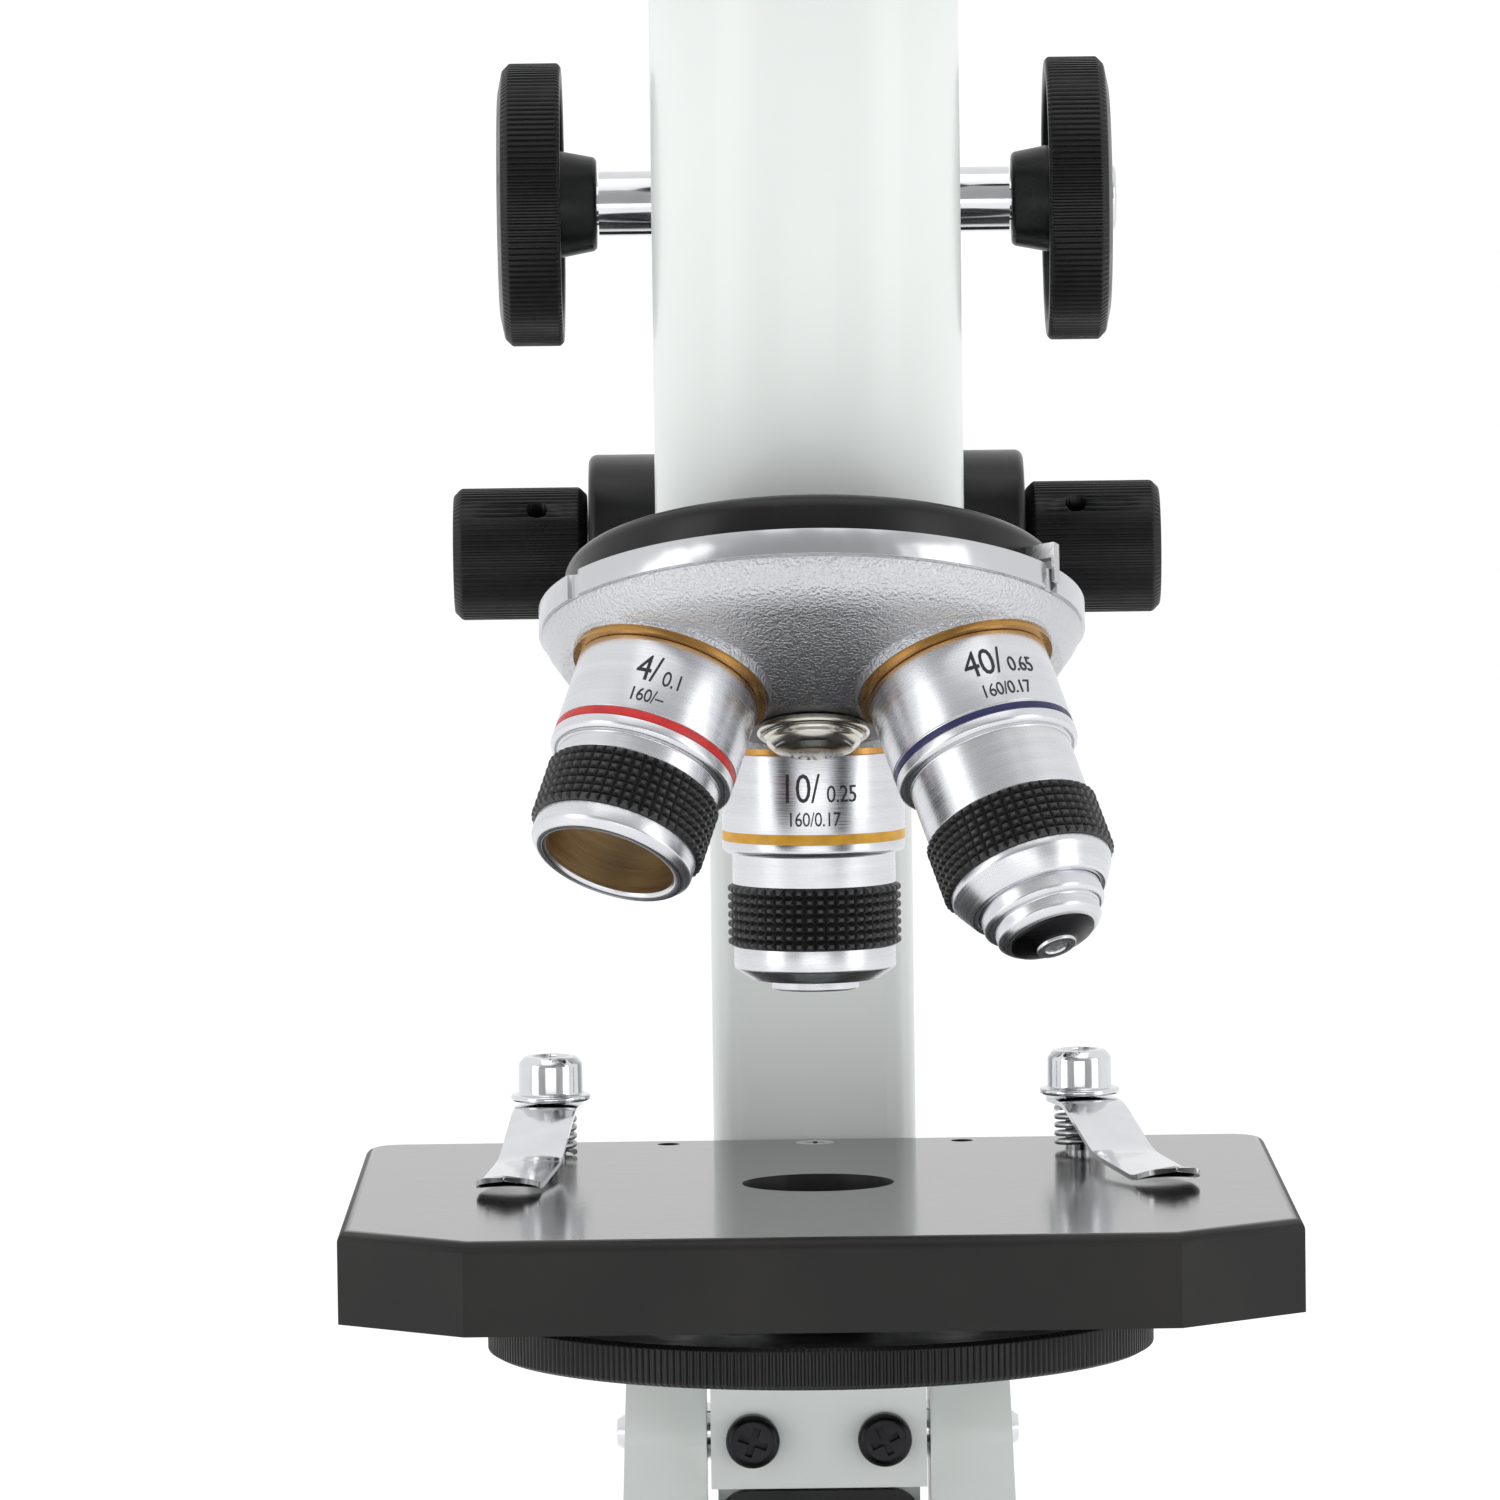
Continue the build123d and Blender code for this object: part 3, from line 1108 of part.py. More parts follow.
def seat_point(radius):
    """Distance along the turret axis of the objectives' shoulder plane at a radius from that axis."""
    tilt = math.radians(NOSE_TILT)
    middle = SEAT_REACH * math.sin(tilt)
    return SEAT_REACH * math.cos(tilt) + (middle - radius) * math.tan(tilt)


def turret():
    """Hollow shell with a machined rim, a flat middle and a conical face square to the three objective axes."""
    rim_end = TURRET_START + TURRET_RIM
    wall = TURRET_RADIUS - TURRET_RIM_PROUD
    brow = wall - 2.6
    inner = TURRET_RADIUS - TURRET_WALL
    shaft = PIVOT_SHOULDER + SHAFT_GAP
    under = SEAT_RING_THICK / math.cos(math.radians(NOSE_TILT))
    tilt = math.radians(NOSE_TILT)
    face_radius = SEAT_REACH * math.sin(tilt) + (SEAT_REACH * math.cos(tilt) - under - TURRET_FACE) / math.tan(tilt)
    inner_face = HUB_POST_END + FREE_GAP
    outline = [(shaft, -inner_face), (TURRET_HUB, -inner_face), (inner, -seat_point(inner) + TURRET_SHELL),
               (inner, -TURRET_START), (TURRET_RADIUS, -TURRET_START), (TURRET_RADIUS, -rim_end), (wall, -rim_end),
               (wall, -rim_end - 0.4), (wall - 0.8, -rim_end - 2.0), (brow, -seat_point(brow) + under),
               (face_radius, -TURRET_FACE), (shaft, -TURRET_FACE)]
    body = turned(outline)
    seat = SEAT_REACH - SEAT_RING_THICK
    boss = rod_z(SEAT_RING_RADIUS + 0.3, -seat, -seat + THREAD_LENGTH)
    hole = rod_z(THREAD_RADIUS + SHAFT_GAP, -seat - 1, -seat + 12)
    for index in range(3):
        body += Rot(0, 0, 120 * index) * Rot(NOSE_TILT, 0, 0) * boss
    for index in range(3):
        body -= Rot(0, 0, 120 * index) * Rot(NOSE_TILT, 0, 0) * hole
        notch = rod_z(NOTCH_RADIUS, -rim_end - 0.1, -TURRET_START + 1, 0, TURRET_RADIUS + 0.3)
        body -= Rot(0, 0, 120 * index) * notch
    body -= rod_z(HUB_POST_RADIUS + FREE_GAP, -inner_face, -TURRET_START)
    return on_nose_axis(body)


def seat_rings():
    outline = [(THREAD_RADIUS + SHAFT_GAP, -SEAT_REACH), (SEAT_RING_RADIUS, -SEAT_REACH),
               (SEAT_RING_RADIUS, -SEAT_REACH + SEAT_RING_THICK),
               (THREAD_RADIUS + SHAFT_GAP, -SEAT_REACH + SEAT_RING_THICK)]
    ring = turned(outline)
    return grouped([at_station(ring, index) for index in range(3)])


# ================================================================ objectives
def objective_top():
    """Outline shared by the three objectives, from the thread down to the ledge."""
    return [(LENS_PATH, THREAD_LENGTH), (THREAD_RADIUS - 0.4, THREAD_LENGTH), (THREAD_RADIUS, THREAD_LENGTH - 0.4),
            (THREAD_RADIUS, 0), (SLEEVE_OD_RADIUS - 0.2, 0), (SLEEVE_OD_RADIUS, -0.2),
            (SLEEVE_OD_RADIUS, -SLEEVE_LENGTH + 0.6), (SLEEVE_OD_RADIUS - 0.5, -SLEEVE_LENGTH),
            (NECK_RADIUS, -SLEEVE_LENGTH)]


def hung(part, index):
    """Hang a part drawn with its shoulder at z = 0 on a turret station."""
    return at_station(Pos(0, 0, -SEAT_REACH) * part, index)


def end_4x():
    return -SLEEVE_LENGTH - NECK_4X - GRIP_4X - LIP_4X


def objective_4x():
    end = end_4x()
    lip = end + LIP_4X
    grip = lip + GRIP_4X
    outline = objective_top()
    outline += [(NECK_RADIUS, grip), (GRIP_RADIUS, grip), (GRIP_RADIUS, lip), (FRONT_RADIUS, lip),
                (FRONT_RADIUS, end + 1.0), (FRONT_RADIUS - 1.0, end), (MOUTH_4X + 0.6, end), (MOUTH_4X, end + 0.6),
                (MOUTH_4X, end + MOUTH_DEPTH_4X), (LENS_PATH, end + MOUTH_DEPTH_4X)]
    return hung(turned(outline), 1)


def nose_10x():
    return -SLEEVE_LENGTH - NECK_10X - GRIP_10X - FRONT_10X - BEVEL_10X


def objective_10x():
    nose = nose_10x()
    end = nose - NOSE_10X
    bevel = nose + BEVEL_10X
    front = bevel + FRONT_10X
    grip = front + GRIP_10X
    outline = objective_top()
    outline += [(NECK_RADIUS, grip), (GRIP_RADIUS, grip), (GRIP_RADIUS, front), (FRONT_RADIUS, front),
                (FRONT_RADIUS, bevel), (FRONT_RADIUS - 2.3, nose), (NOSE_RADIUS_10X, nose),
                (NOSE_RADIUS_10X, end + 0.3), (NOSE_RADIUS_10X - 0.3, end), (NOSE_BORE_10X, end),
                (NOSE_BORE_10X, nose), (LENS_PATH, bevel)]
    return hung(turned(outline), 0)


def taper_40x_end():
    return -SLEEVE_LENGTH - NECK_40X - GRIP_40X - TAPER_40X


def objective_40x():
    grip = -SLEEVE_LENGTH - NECK_40X
    taper = grip - GRIP_40X
    end = taper_40x_end()
    bore = SPRING_NOSE_RADIUS + SLIDE_GAP
    flange = SPRING_NOSE_FLANGE + SLIDE_GAP
    outline = objective_top()
    outline += [(NECK_RADIUS, grip), (GRIP_RADIUS, grip), (GRIP_RADIUS, taper), (FRONT_RADIUS, taper),
                (FRONT_RADIUS, taper - 0.8), (bore + 0.8, end), (bore, end), (bore, end + LIP_40X),
                (flange, end + LIP_40X), (flange, end + BAY_40X), (LENS_PATH, end + BAY_40X)]
    return hung(turned(outline), 2)


def flange_40x():
    """Heights of the spring nose flange, under side and top."""
    under = taper_40x_end() + LIP_40X + NOSE_STAND_40X
    return under, under + NOSE_FLANGE_40X


def objective_40x_nose():
    end = taper_40x_end()
    under, top = flange_40x()
    rim = SPRING_NOSE_RADIUS
    outline = [(3.0, top), (SPRING_NOSE_FLANGE, top), (SPRING_NOSE_FLANGE, under), (rim, under),
               (rim, end - 1.9), (rim - 0.5, end - 2.4), (rim - 1.1, end - 2.4), (rim - 1.1, end - 4.0),
               (rim - 1.8, end - 4.7), (2.6, end - 6.2), (2.6, end - 6.7), (FRONT_BORE_40X, end - 6.7),
               (FRONT_BORE_40X, end - 5.7), (3.0, end - 3.6)]
    return hung(turned(outline), 2)


def objective_40x_lens():
    end = taper_40x_end()
    lens = rod_z(FRONT_BORE_40X - SEAT_GAP, end - 6.5, end - 5.7)
    return hung(lens, 2)


def objective_40x_spring():
    low = flange_40x()[1] + FREE_GAP + CLIP_WIRE / 2
    height = taper_40x_end() + BAY_40X - FREE_GAP - CLIP_WIRE / 2 - low
    path = Helix(pitch=height / 5, height=height, radius=SPRING_NOSE_FLANGE - 1.3)
    start = Plane(origin=path @ 0, z_dir=path % 0)
    coil = sweep(start * Circle(CLIP_WIRE / 2), path=path, is_frenet=True)
    return hung(Pos(0, 0, low) * coil, 2)


def objective_lenses():
    """Front lenses of the low and middle power objectives."""
    back = end_4x() + MOUTH_DEPTH_4X
    wide = rod_z(MOUTH_4X - SEAT_GAP, back - 2.5, back)
    small = rod_z(NOSE_BORE_10X - SEAT_GAP, nose_10x() - NOSE_10X + 0.4, nose_10x())
    return grouped([hung(wide, 1), hung(small, 0)])


# ================================================================ head
def collar_top():
    return TUBE_TOP + COLLAR_HEIGHT


def head_screw_z():
    return (TUBE_TOP + COLLAR_FLOOR + collar_top()) / 2


def head_collar():
    tube_in = TUBE_RADIUS - TUBE_WALL - SEAT_GAP
    low = TUBE_TOP
    high = collar_top()
    pocket = STUB_RADIUS + SHAFT_GAP
    outline = [(COLLAR_BORE, low - COLLAR_SPIGOT), (tube_in, low - COLLAR_SPIGOT), (tube_in, low),
               (COLLAR_RADIUS - 0.8, low), (COLLAR_RADIUS, low + 0.8), (COLLAR_RADIUS, high - 0.8),
               (COLLAR_RADIUS - 0.8, high), (pocket, high), (pocket, low + COLLAR_FLOOR),
               (COLLAR_BORE, low + COLLAR_FLOOR)]
    collar = Pos(0, OPTIC_Y, 0) * turned(outline)
    return collar - rod_x(HEAD_SCREW_RADIUS + SEAT_GAP, STUB_RADIUS - 1, COLLAR_RADIUS + 1, OPTIC_Y, head_screw_z())


def head_screw():
    tip = STUB_RADIUS + FREE_GAP
    screw = rod_x(HEAD_SCREW_RADIUS, tip, COLLAR_RADIUS + 2, OPTIC_Y, head_screw_z())
    knob = rod_x(HEAD_SCREW_KNOB, COLLAR_RADIUS + 1.5, COLLAR_RADIUS + 10, OPTIC_Y, head_screw_z())
    knob = chamfer(knob.edges().filter_by(GeomType.CIRCLE), 0.6)
    return screw + knob


def prism_z():
    return collar_top() + PRISM_HEIGHT


def eye_place(part):
    """Place a part drawn up +Z from the prism centre along the eyepiece axis."""
    return Pos(0, OPTIC_Y, prism_z()) * Rot(-EYE_ANGLE, 0, 0) * part


def head_casting():
    half = HEAD_WIDTH / 2
    foot = -PRISM_HEIGHT + FREE_GAP
    turn = math.radians(EYE_ANGLE)
    out = (HEAD_REACH * math.sin(turn), HEAD_REACH * math.cos(turn))
    across = (half * math.cos(turn), half * math.sin(turn))
    side = Polygon((-half, foot), (half, foot), (out[0] + across[0], out[1] - across[1]),
                   (out[0] - across[0], out[1] + across[1]), (-half * 0.5, 24), (-half, 8), align=None)
    body = Pos(0, OPTIC_Y, prism_z()) * plate_x(side, -half, half)
    edges = [edge for edge in body.edges() if abs(abs(edge.center().X) - half) < 0.01]
    body = fillet(edges, 5.0)
    stub_low = TUBE_TOP + COLLAR_FLOOR + FREE_GAP
    body += rod_z(STUB_RADIUS, stub_low, collar_top() + 3, 0, OPTIC_Y)
    body -= rod_z(9.0, stub_low - 1, prism_z(), 0, OPTIC_Y)
    body -= eye_place(rod_z(11.0, 8, HEAD_REACH + 1))
    room = PRISM_WIDTH / 2 + 2
    body -= Pos(0, OPTIC_Y, prism_z()) * block(-room, room, -13, 13, -9, 12)
    return body


def prism():
    side = Polygon((-10.5, -9), (11.5, -9), (11.5, 0), (0, 11.5), (-10.5, 5), align=None)
    return Pos(0, OPTIC_Y, prism_z()) * plate_x(side, -PRISM_WIDTH / 2, PRISM_WIDTH / 2)


def eyepiece_tube():
    start = HEAD_REACH
    end = start + EYE_TUBE_LENGTH
    bore = EYEPIECE_RADIUS + SHAFT_GAP
    flange = EYE_TUBE_RADIUS + 2.5
    outline = [(bore, start), (flange, start), (flange, start + 2.5), (EYE_TUBE_RADIUS, start + 3.2),
               (EYE_TUBE_RADIUS, end - 0.6), (EYE_TUBE_RADIUS - 0.6, end), (bore, end)]
    return eye_place(turned(outline))


def eyepiece_seat():
    return HEAD_REACH + EYE_TUBE_LENGTH + FREE_GAP


def eyepiece():
    seat = eyepiece_seat()
    low = seat - EYEPIECE_DEPTH
    top = seat + EYEPIECE_HEAD
    stop = top - EYEPIECE_STOP
    wide = EYEPIECE_HEAD_RADIUS
    bore = EYEPIECE_BORE
    outline = [(bore, low), (EYEPIECE_RADIUS, low), (EYEPIECE_RADIUS, seat), (wide, seat), (wide, seat + 7),
               (wide - 0.8, seat + 8), (wide - 0.8, top - 5), (wide + 1.2, top - 3.5), (wide + 1.2, top - 0.8),
               (wide + 0.4, top), (bore + 0.6, top), (bore - 1, top - 3), (bore - 1, stop), (bore, stop)]
    return eye_place(turned(outline))


def eyepiece_lenses():
    radius = EYEPIECE_BORE - SEAT_GAP
    low = eyepiece_seat() - EYEPIECE_DEPTH
    stop = eyepiece_seat() + EYEPIECE_HEAD - EYEPIECE_STOP
    eye = rod_z(radius, stop - 4, stop)
    field = rod_z(radius, low + 3, low + 6)
    return grouped([eye_place(eye), eye_place(field)])


# ================================================================ all the pieces
PIECES = [
    base_casting, base_plate, rubber_feet, base_plate_screws, fork_cover, tilt_pin,
    lamp_housing, lamp_lens, led_board, battery_cells, battery_door, switch_frame, power_switch,
    column, stage_bracket, bracket_screws, stage_plate, stage_screw, condenser_lens,
    diaphragm_disc, diaphragm_screw, clip_posts, clip_springs, left_clip, right_clip,
    focus_drum, fine_bushes, fine_shaft, left_fine_knob, right_fine_knob, fine_set_screws, fine_wedge,
    limb, coarse_guide, coarse_sleeves, coarse_shaft, left_coarse_knob, right_coarse_knob,
    rack, tube_slide, body_tube, nosepiece_ring, detent_spring, turret_screw, turret, seat_rings,
    objective_4x, objective_10x, objective_40x, objective_40x_nose, objective_40x_lens,
    objective_40x_spring, objective_lenses,
    head_collar, head_screw, head_casting, prism, eyepiece_tube, eyepiece, eyepiece_lenses,
]

os.makedirs("parts", exist_ok=True)
for make_piece in PIECES:
    export_step(make_piece(), os.path.join("parts", make_piece.__name__ + ".step"))
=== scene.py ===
"""Looks of a student microscope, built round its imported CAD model.

The scene is in metres, +Z up, and the nosepiece faces -Y. Outlines of turned pieces are lists of
(radius, height) in mm, with the height along the piece's own axis."""
import json
import math

import bmesh
import bpy
from mathutils import Matrix, Vector


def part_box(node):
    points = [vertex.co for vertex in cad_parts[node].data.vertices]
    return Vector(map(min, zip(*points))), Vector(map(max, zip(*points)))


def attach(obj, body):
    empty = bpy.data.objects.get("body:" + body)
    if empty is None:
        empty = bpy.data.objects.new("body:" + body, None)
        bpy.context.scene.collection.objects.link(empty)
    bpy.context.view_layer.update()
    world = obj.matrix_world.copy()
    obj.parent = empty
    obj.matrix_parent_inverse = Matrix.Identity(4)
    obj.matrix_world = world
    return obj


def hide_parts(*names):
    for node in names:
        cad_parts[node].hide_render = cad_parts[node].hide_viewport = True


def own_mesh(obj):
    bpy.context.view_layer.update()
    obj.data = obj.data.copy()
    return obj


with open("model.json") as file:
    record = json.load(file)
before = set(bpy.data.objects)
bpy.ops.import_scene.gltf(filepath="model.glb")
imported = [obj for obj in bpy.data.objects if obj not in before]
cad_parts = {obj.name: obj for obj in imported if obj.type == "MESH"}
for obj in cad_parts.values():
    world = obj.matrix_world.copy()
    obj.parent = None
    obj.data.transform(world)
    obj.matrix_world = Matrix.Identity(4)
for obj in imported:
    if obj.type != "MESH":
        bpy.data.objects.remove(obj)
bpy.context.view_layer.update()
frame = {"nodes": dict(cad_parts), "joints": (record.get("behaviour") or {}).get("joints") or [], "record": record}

MM = 0.001
TAU = 2 * math.pi
SIDE = (1, 0, 0)
FRONT = (0, -1, 0)
UP = (0, 0, 1)
NODES = frame["nodes"]
SLOT_OF = {part["node"]: part["material_slot"] for part in frame["record"]["subparts"]}
JOINTS = {joint["name"]: joint for joint in frame["joints"]}


# ---------------------------------------------------------------- materials
NOISE_START = 0.3           # band of a noise value that a range is taken over
NOISE_END = 0.7
PATCH_DETAIL = 3.0          # detail of the noise behind colour patches and sheen
UP_START = 0.9              # Z of a normal that starts to count as facing up
UP_FULL = 0.97


class Finish:
    """A Principled material that is built up with procedural detail."""

    def __init__(self, name, colour, inputs, space="Object"):
        self.material = bpy.data.materials.new(name)
        self.material.use_nodes = True
        self.nodes = self.material.node_tree.nodes
        self.links = self.material.node_tree.links
        self.shader = self.nodes["Principled BSDF"]
        for socket, value in inputs.items():
            self.shader.inputs[socket].default_value = value
        self.shader.inputs["Base Color"].default_value = (*colour, 1)
        self.colour = colour
        self.space = self.nodes.new("ShaderNodeTexCoord").outputs[space]

    def stretched(self, scale):
        """Texture space with its own scale along each axis."""
        mapping = self.nodes.new("ShaderNodeMapping")
        mapping.inputs["Scale"].default_value = scale
        self.links.new(self.space, mapping.inputs["Vector"])
        return mapping.outputs["Vector"]

    def noise(self, scale, detail=2.0, rough=0.5):
        """Noise value, with scale per metre as one number or three."""
        node = self.nodes.new("ShaderNodeTexNoise")
        node.inputs["Detail"].default_value = detail
        node.inputs["Roughness"].default_value = rough
        if isinstance(scale, tuple):
            node.inputs["Scale"].default_value = 1.0
            self.links.new(self.stretched(scale), node.inputs["Vector"])
        else:
            node.inputs["Scale"].default_value = scale
            self.links.new(self.space, node.inputs["Vector"])
        return node.outputs["Fac"]

    def ranged(self, value, low, high, start=NOISE_START, end=NOISE_END):
        """Value from start to end brought to low to high."""
        node = self.nodes.new("ShaderNodeMapRange")
        node.inputs["From Min"].default_value = start
        node.inputs["From Max"].default_value = end
        node.inputs["To Min"].default_value = low
        node.inputs["To Max"].default_value = high
        self.links.new(value, node.inputs["Value"])
        return node.outputs["Result"]

    def recolour(self, other, mask):
        """Base colour that goes over to another one where the mask is 1."""
        mix = self.nodes.new("ShaderNodeMix")
        mix.data_type = "RGBA"
        mix.inputs["A"].default_value = (*self.colour, 1)
        mix.inputs["B"].default_value = (*other, 1)
        self.links.new(mask, mix.inputs["Factor"])
        self.links.new(mix.outputs["Result"], self.shader.inputs["Base Color"])

    def mottle(self, other, scale):
        """Base colour that wanders between the finish's own colour and another."""
        self.recolour(other, self.ranged(self.noise(scale, PATCH_DETAIL), 0.0, 1.0))

    def sheen_of(self, low, high, scale):
        """Roughness that wanders between two values."""
        self.follow("Roughness", self.noise(scale, PATCH_DETAIL), low, high)

    def follow(self, socket, value, low, high, start=NOISE_START, end=NOISE_END):
        """A shader input that goes from low to high as the value goes from start to end."""
        self.links.new(self.ranged(value, low, high, start, end), self.shader.inputs[socket])

    def bump(self, height, depth):
        """Relief of a height value, depth in mm, on top of any relief before it."""
        node = self.nodes.new("ShaderNodeBump")
        node.inputs["Distance"].default_value = depth * MM
        node.inputs["Strength"].default_value = 1.0
        self.links.new(height, node.inputs["Height"])
        normal = self.shader.inputs["Normal"]
        if normal.is_linked:
            self.links.new(normal.links[0].from_socket, node.inputs["Normal"])
        for target in (normal, self.shader.inputs["Coat Normal"]):
            self.links.new(node.outputs["Normal"], target)

    def vector_math(self, operation, value, other=None):
        """Outputs of a vector operation on a value and, where it takes one, a fixed vector."""
        node = self.nodes.new("ShaderNodeVectorMath")
        node.operation = operation
        self.links.new(value, node.inputs[0])
        if other is not None:
            node.inputs[1].default_value = other
        return node.outputs

    def along(self, origin, axis):
        """Distance along an axis and away from it, in metres, for each point of the surface."""
        offset = self.vector_math("SUBTRACT", self.space, origin)["Vector"]
        across = self.vector_math("CROSS_PRODUCT", offset, axis)["Vector"]
        return (self.vector_math("DOT_PRODUCT", offset, axis)["Value"],
                self.vector_math("LENGTH", across)["Value"])

    def upward(self):
        """1 where the surface faces up at rest, 0 elsewhere."""
        normal = self.nodes.new("ShaderNodeTexCoord").outputs["Normal"]
        split = self.nodes.new("ShaderNodeSeparateXYZ")
        self.links.new(normal, split.inputs["Vector"])
        return self.ranged(split.outputs["Z"], 0.0, 1.0, UP_START, UP_FULL)


def surface(name, colour, other, patches, sheen, reliefs, inputs, space="Object"):
    """Finish with colour patches at a noise scale, a sheen of (lowest, highest, noise scale) or
    none, and reliefs of (noise scale, detail, depth in mm)."""
    finish = Finish(name, colour, inputs, space)
    finish.mottle(other, patches)
    if sheen:
        finish.sheen_of(*sheen)
    for scale, detail, depth in reliefs:
        finish.bump(finish.noise(scale, detail), depth)
    return finish


# name: colour, second colour, patches, sheen, reliefs, shader inputs
SURFACES = {
    "white_enamel": ((0.80, 0.84, 0.82), (0.77, 0.81, 0.79), 24, (0.30, 0.42, 60),
                     [(700, 2, 0.012), (2600, 3, 0.004)],
                     {"Coat Weight": 0.35, "Coat Roughness": 0.12}),
    "black_plastic": ((0.012, 0.012, 0.013), (0.018, 0.018, 0.019), 90, (0.38, 0.52, 150),
                      [(2400, 3, 0.02)], {"Specular IOR Level": 0.3}),
    "black_gloss": ((0.005, 0.005, 0.006), (0.008, 0.008, 0.009), 70, (0.26, 0.34, 160),
                    [(900, 2, 0.004)], {"Specular IOR Level": 0.32}),
    "black_knob": ((0.008, 0.008, 0.009), (0.013, 0.013, 0.014), 120, (0.26, 0.40, 260),
                   [(3200, 3, 0.008)], {"Specular IOR Level": 0.28}),
    "black_grip": ((0.010, 0.010, 0.010), (0.018, 0.018, 0.018), 600, (0.3, 0.5, 900),
                   [(2600, 3, 0.05)], {"Specular IOR Level": 0.6}),
    "black_disc": ((0.009, 0.009, 0.010), (0.014, 0.014, 0.015), 80, (0.32, 0.44, 200),
                   [(2600, 3, 0.008)], {"Specular IOR Level": 0.3}),
    "rubber": ((0.018, 0.018, 0.018), (0.030, 0.030, 0.030), 140, (0.7, 0.9, 300),
               [(1800, 4, 0.04)], {}),
    "circuit_board": ((0.02, 0.16, 0.06), (0.03, 0.22, 0.08), 400, None, [(2400, 2, 0.01)],
                      {"Roughness": 0.35, "Coat Weight": 0.4, "Coat Roughness": 0.05}),
    "cell_jacket": ((0.10, 0.11, 0.14), (0.14, 0.15, 0.18), 60, None, [(900, 2, 0.01)],
                    {"Roughness": 0.25, "Coat Weight": 0.5, "Coat Roughness": 0.05}),
    "glass": ((0.93, 0.97, 0.97), (0.88, 0.95, 0.96), 60, None, [(300, 1, 0.001)],
              {"Roughness": 0.02, "Transmission Weight": 0.9, "IOR": 1.5}),
    "frosted_glass": ((0.90, 0.93, 0.95), (0.83, 0.88, 0.92), 120, None, [(2600, 3, 0.01)],
                      {"Roughness": 0.35, "Transmission Weight": 0.55}),
}

# Texture space, and noise scales of the patches, the sheen and the scratches
MACHINED = ("Object", 180, (300, 5200, 900), (500, 500, 9000))       # faint scratches both ways
TURNED = ("UV", (3, 900, 1), (2, 5200, 1), (1.5, 9000, 1))           # fine rings round the axis

# name: grain, colour, second colour, lowest and highest roughness, scratch depth in mm
METALS = {
    "steel": (MACHINED, (0.56, 0.56, 0.57), (0.50, 0.50, 0.51), 0.22, 0.36, 0.004),
    "black_screw": (MACHINED, (0.018, 0.018, 0.02), (0.03, 0.03, 0.032), 0.24, 0.4, 0.004),
    "chrome": (MACHINED, (0.72, 0.73, 0.75), (0.66, 0.67, 0.69), 0.06, 0.13, 0.001),
    "brass": (MACHINED, (0.50, 0.27, 0.08), (0.42, 0.22, 0.06), 0.22, 0.34, 0.004),
    "nickel": (TURNED, (0.62, 0.60, 0.54), (0.55, 0.53, 0.47), 0.12, 0.2, 0.002),
    "objective_chrome": (TURNED, (0.70, 0.71, 0.74), (0.63, 0.64, 0.67), 0.22, 0.32, 0.004),
    "bronze_bore": (TURNED, (0.80, 0.64, 0.42), (0.55, 0.42, 0.26), 0.24, 0.4, 0.02),
}

INKS = {
    "red_ink": (0.44, 0.012, 0.010),
    "yellow_ink": (0.62, 0.31, 0.008),
    "blue_ink": (0.006, 0.007, 0.065),
    "black_ink": (0.010, 0.010, 0.012),
}

SAND_START = 0.0488         # metres along the turret's axis, where the rim goes over to the sand
SAND_FULL = 0.0491
SHADE_NEAR = 0.010          # metres from the turret's axis where the painted shade is darkest, and where it is lightest
SHADE_FAR = 0.027


def metal(name, grain, colour, other, low, high, depth):
    space, patches, streaks, scratches = grain
    return surface(name, colour, other, patches, (low, high, streaks), [(scratches, 2, depth)],
                   {"Metallic": 1.0}, space)


def ink(name, colour):
    lighter = tuple(c * 1.35 + 0.002 for c in colour)
    return surface(name, colour, lighter, 500, (0.36, 0.5, 800), [(6000, 2, 0.002)], {})


def black_enamel():
    """Stage: mirror-like on top with a light orange peel, satin on its edges."""
    finish = Finish("black_enamel", (0.012, 0.012, 0.012), {})
    finish.mottle((0.018, 0.017, 0.016), 60)
    top = finish.upward()
    finish.follow("Roughness", top, 0.42, 0.13, 0.0, 1.0)
    finish.follow("Specular IOR Level", top, 0.22, 0.62, 0.0, 1.0)
    finish.bump(finish.noise(420), 0.012)
    finish.bump(finish.noise(2200), 0.003)
    return finish


def sand_silver():
    """Turret: sand-textured face with painted shade that darkens it towards the pivot, and a machined rim."""
    pivot = JOINTS["turret_turn"]
    finish = Finish("sand_silver", (0.58, 0.59, 0.61), {"Metallic": 1.0})
    deep, away = finish.along(pivot["pos_m"], pivot["axis"])
    # painted shade: the base colour goes over to dark grey towards the pivot's axis
    finish.recolour((0.24, 0.24, 0.25), finish.ranged(away, 1.0, 0.0, SHADE_NEAR, SHADE_FAR))
    sand = finish.ranged(deep, 0.0, 1.0, SAND_START, SAND_FULL)
    finish.follow("Roughness", sand, 0.22, 0.36, 0.0, 1.0)
    grain = finish.nodes.new("ShaderNodeMath")
    grain.operation = "MULTIPLY"
    finish.links.new(finish.noise(2200, rough=0.6), grain.inputs[0])
    finish.links.new(sand, grain.inputs[1])
    finish.bump(grain.outputs["Value"], 0.3)
    finish.bump(finish.noise(700), 0.004)
    return finish


FINISHES = {"black_enamel": black_enamel(), "sand_silver": sand_silver()}
FINISHES.update({name: surface(name, *facts) for name, facts in SURFACES.items()})
FINISHES.update({name: metal(name, *facts) for name, facts in METALS.items()})
FINISHES.update({name: ink(name, colour) for name, colour in INKS.items()})


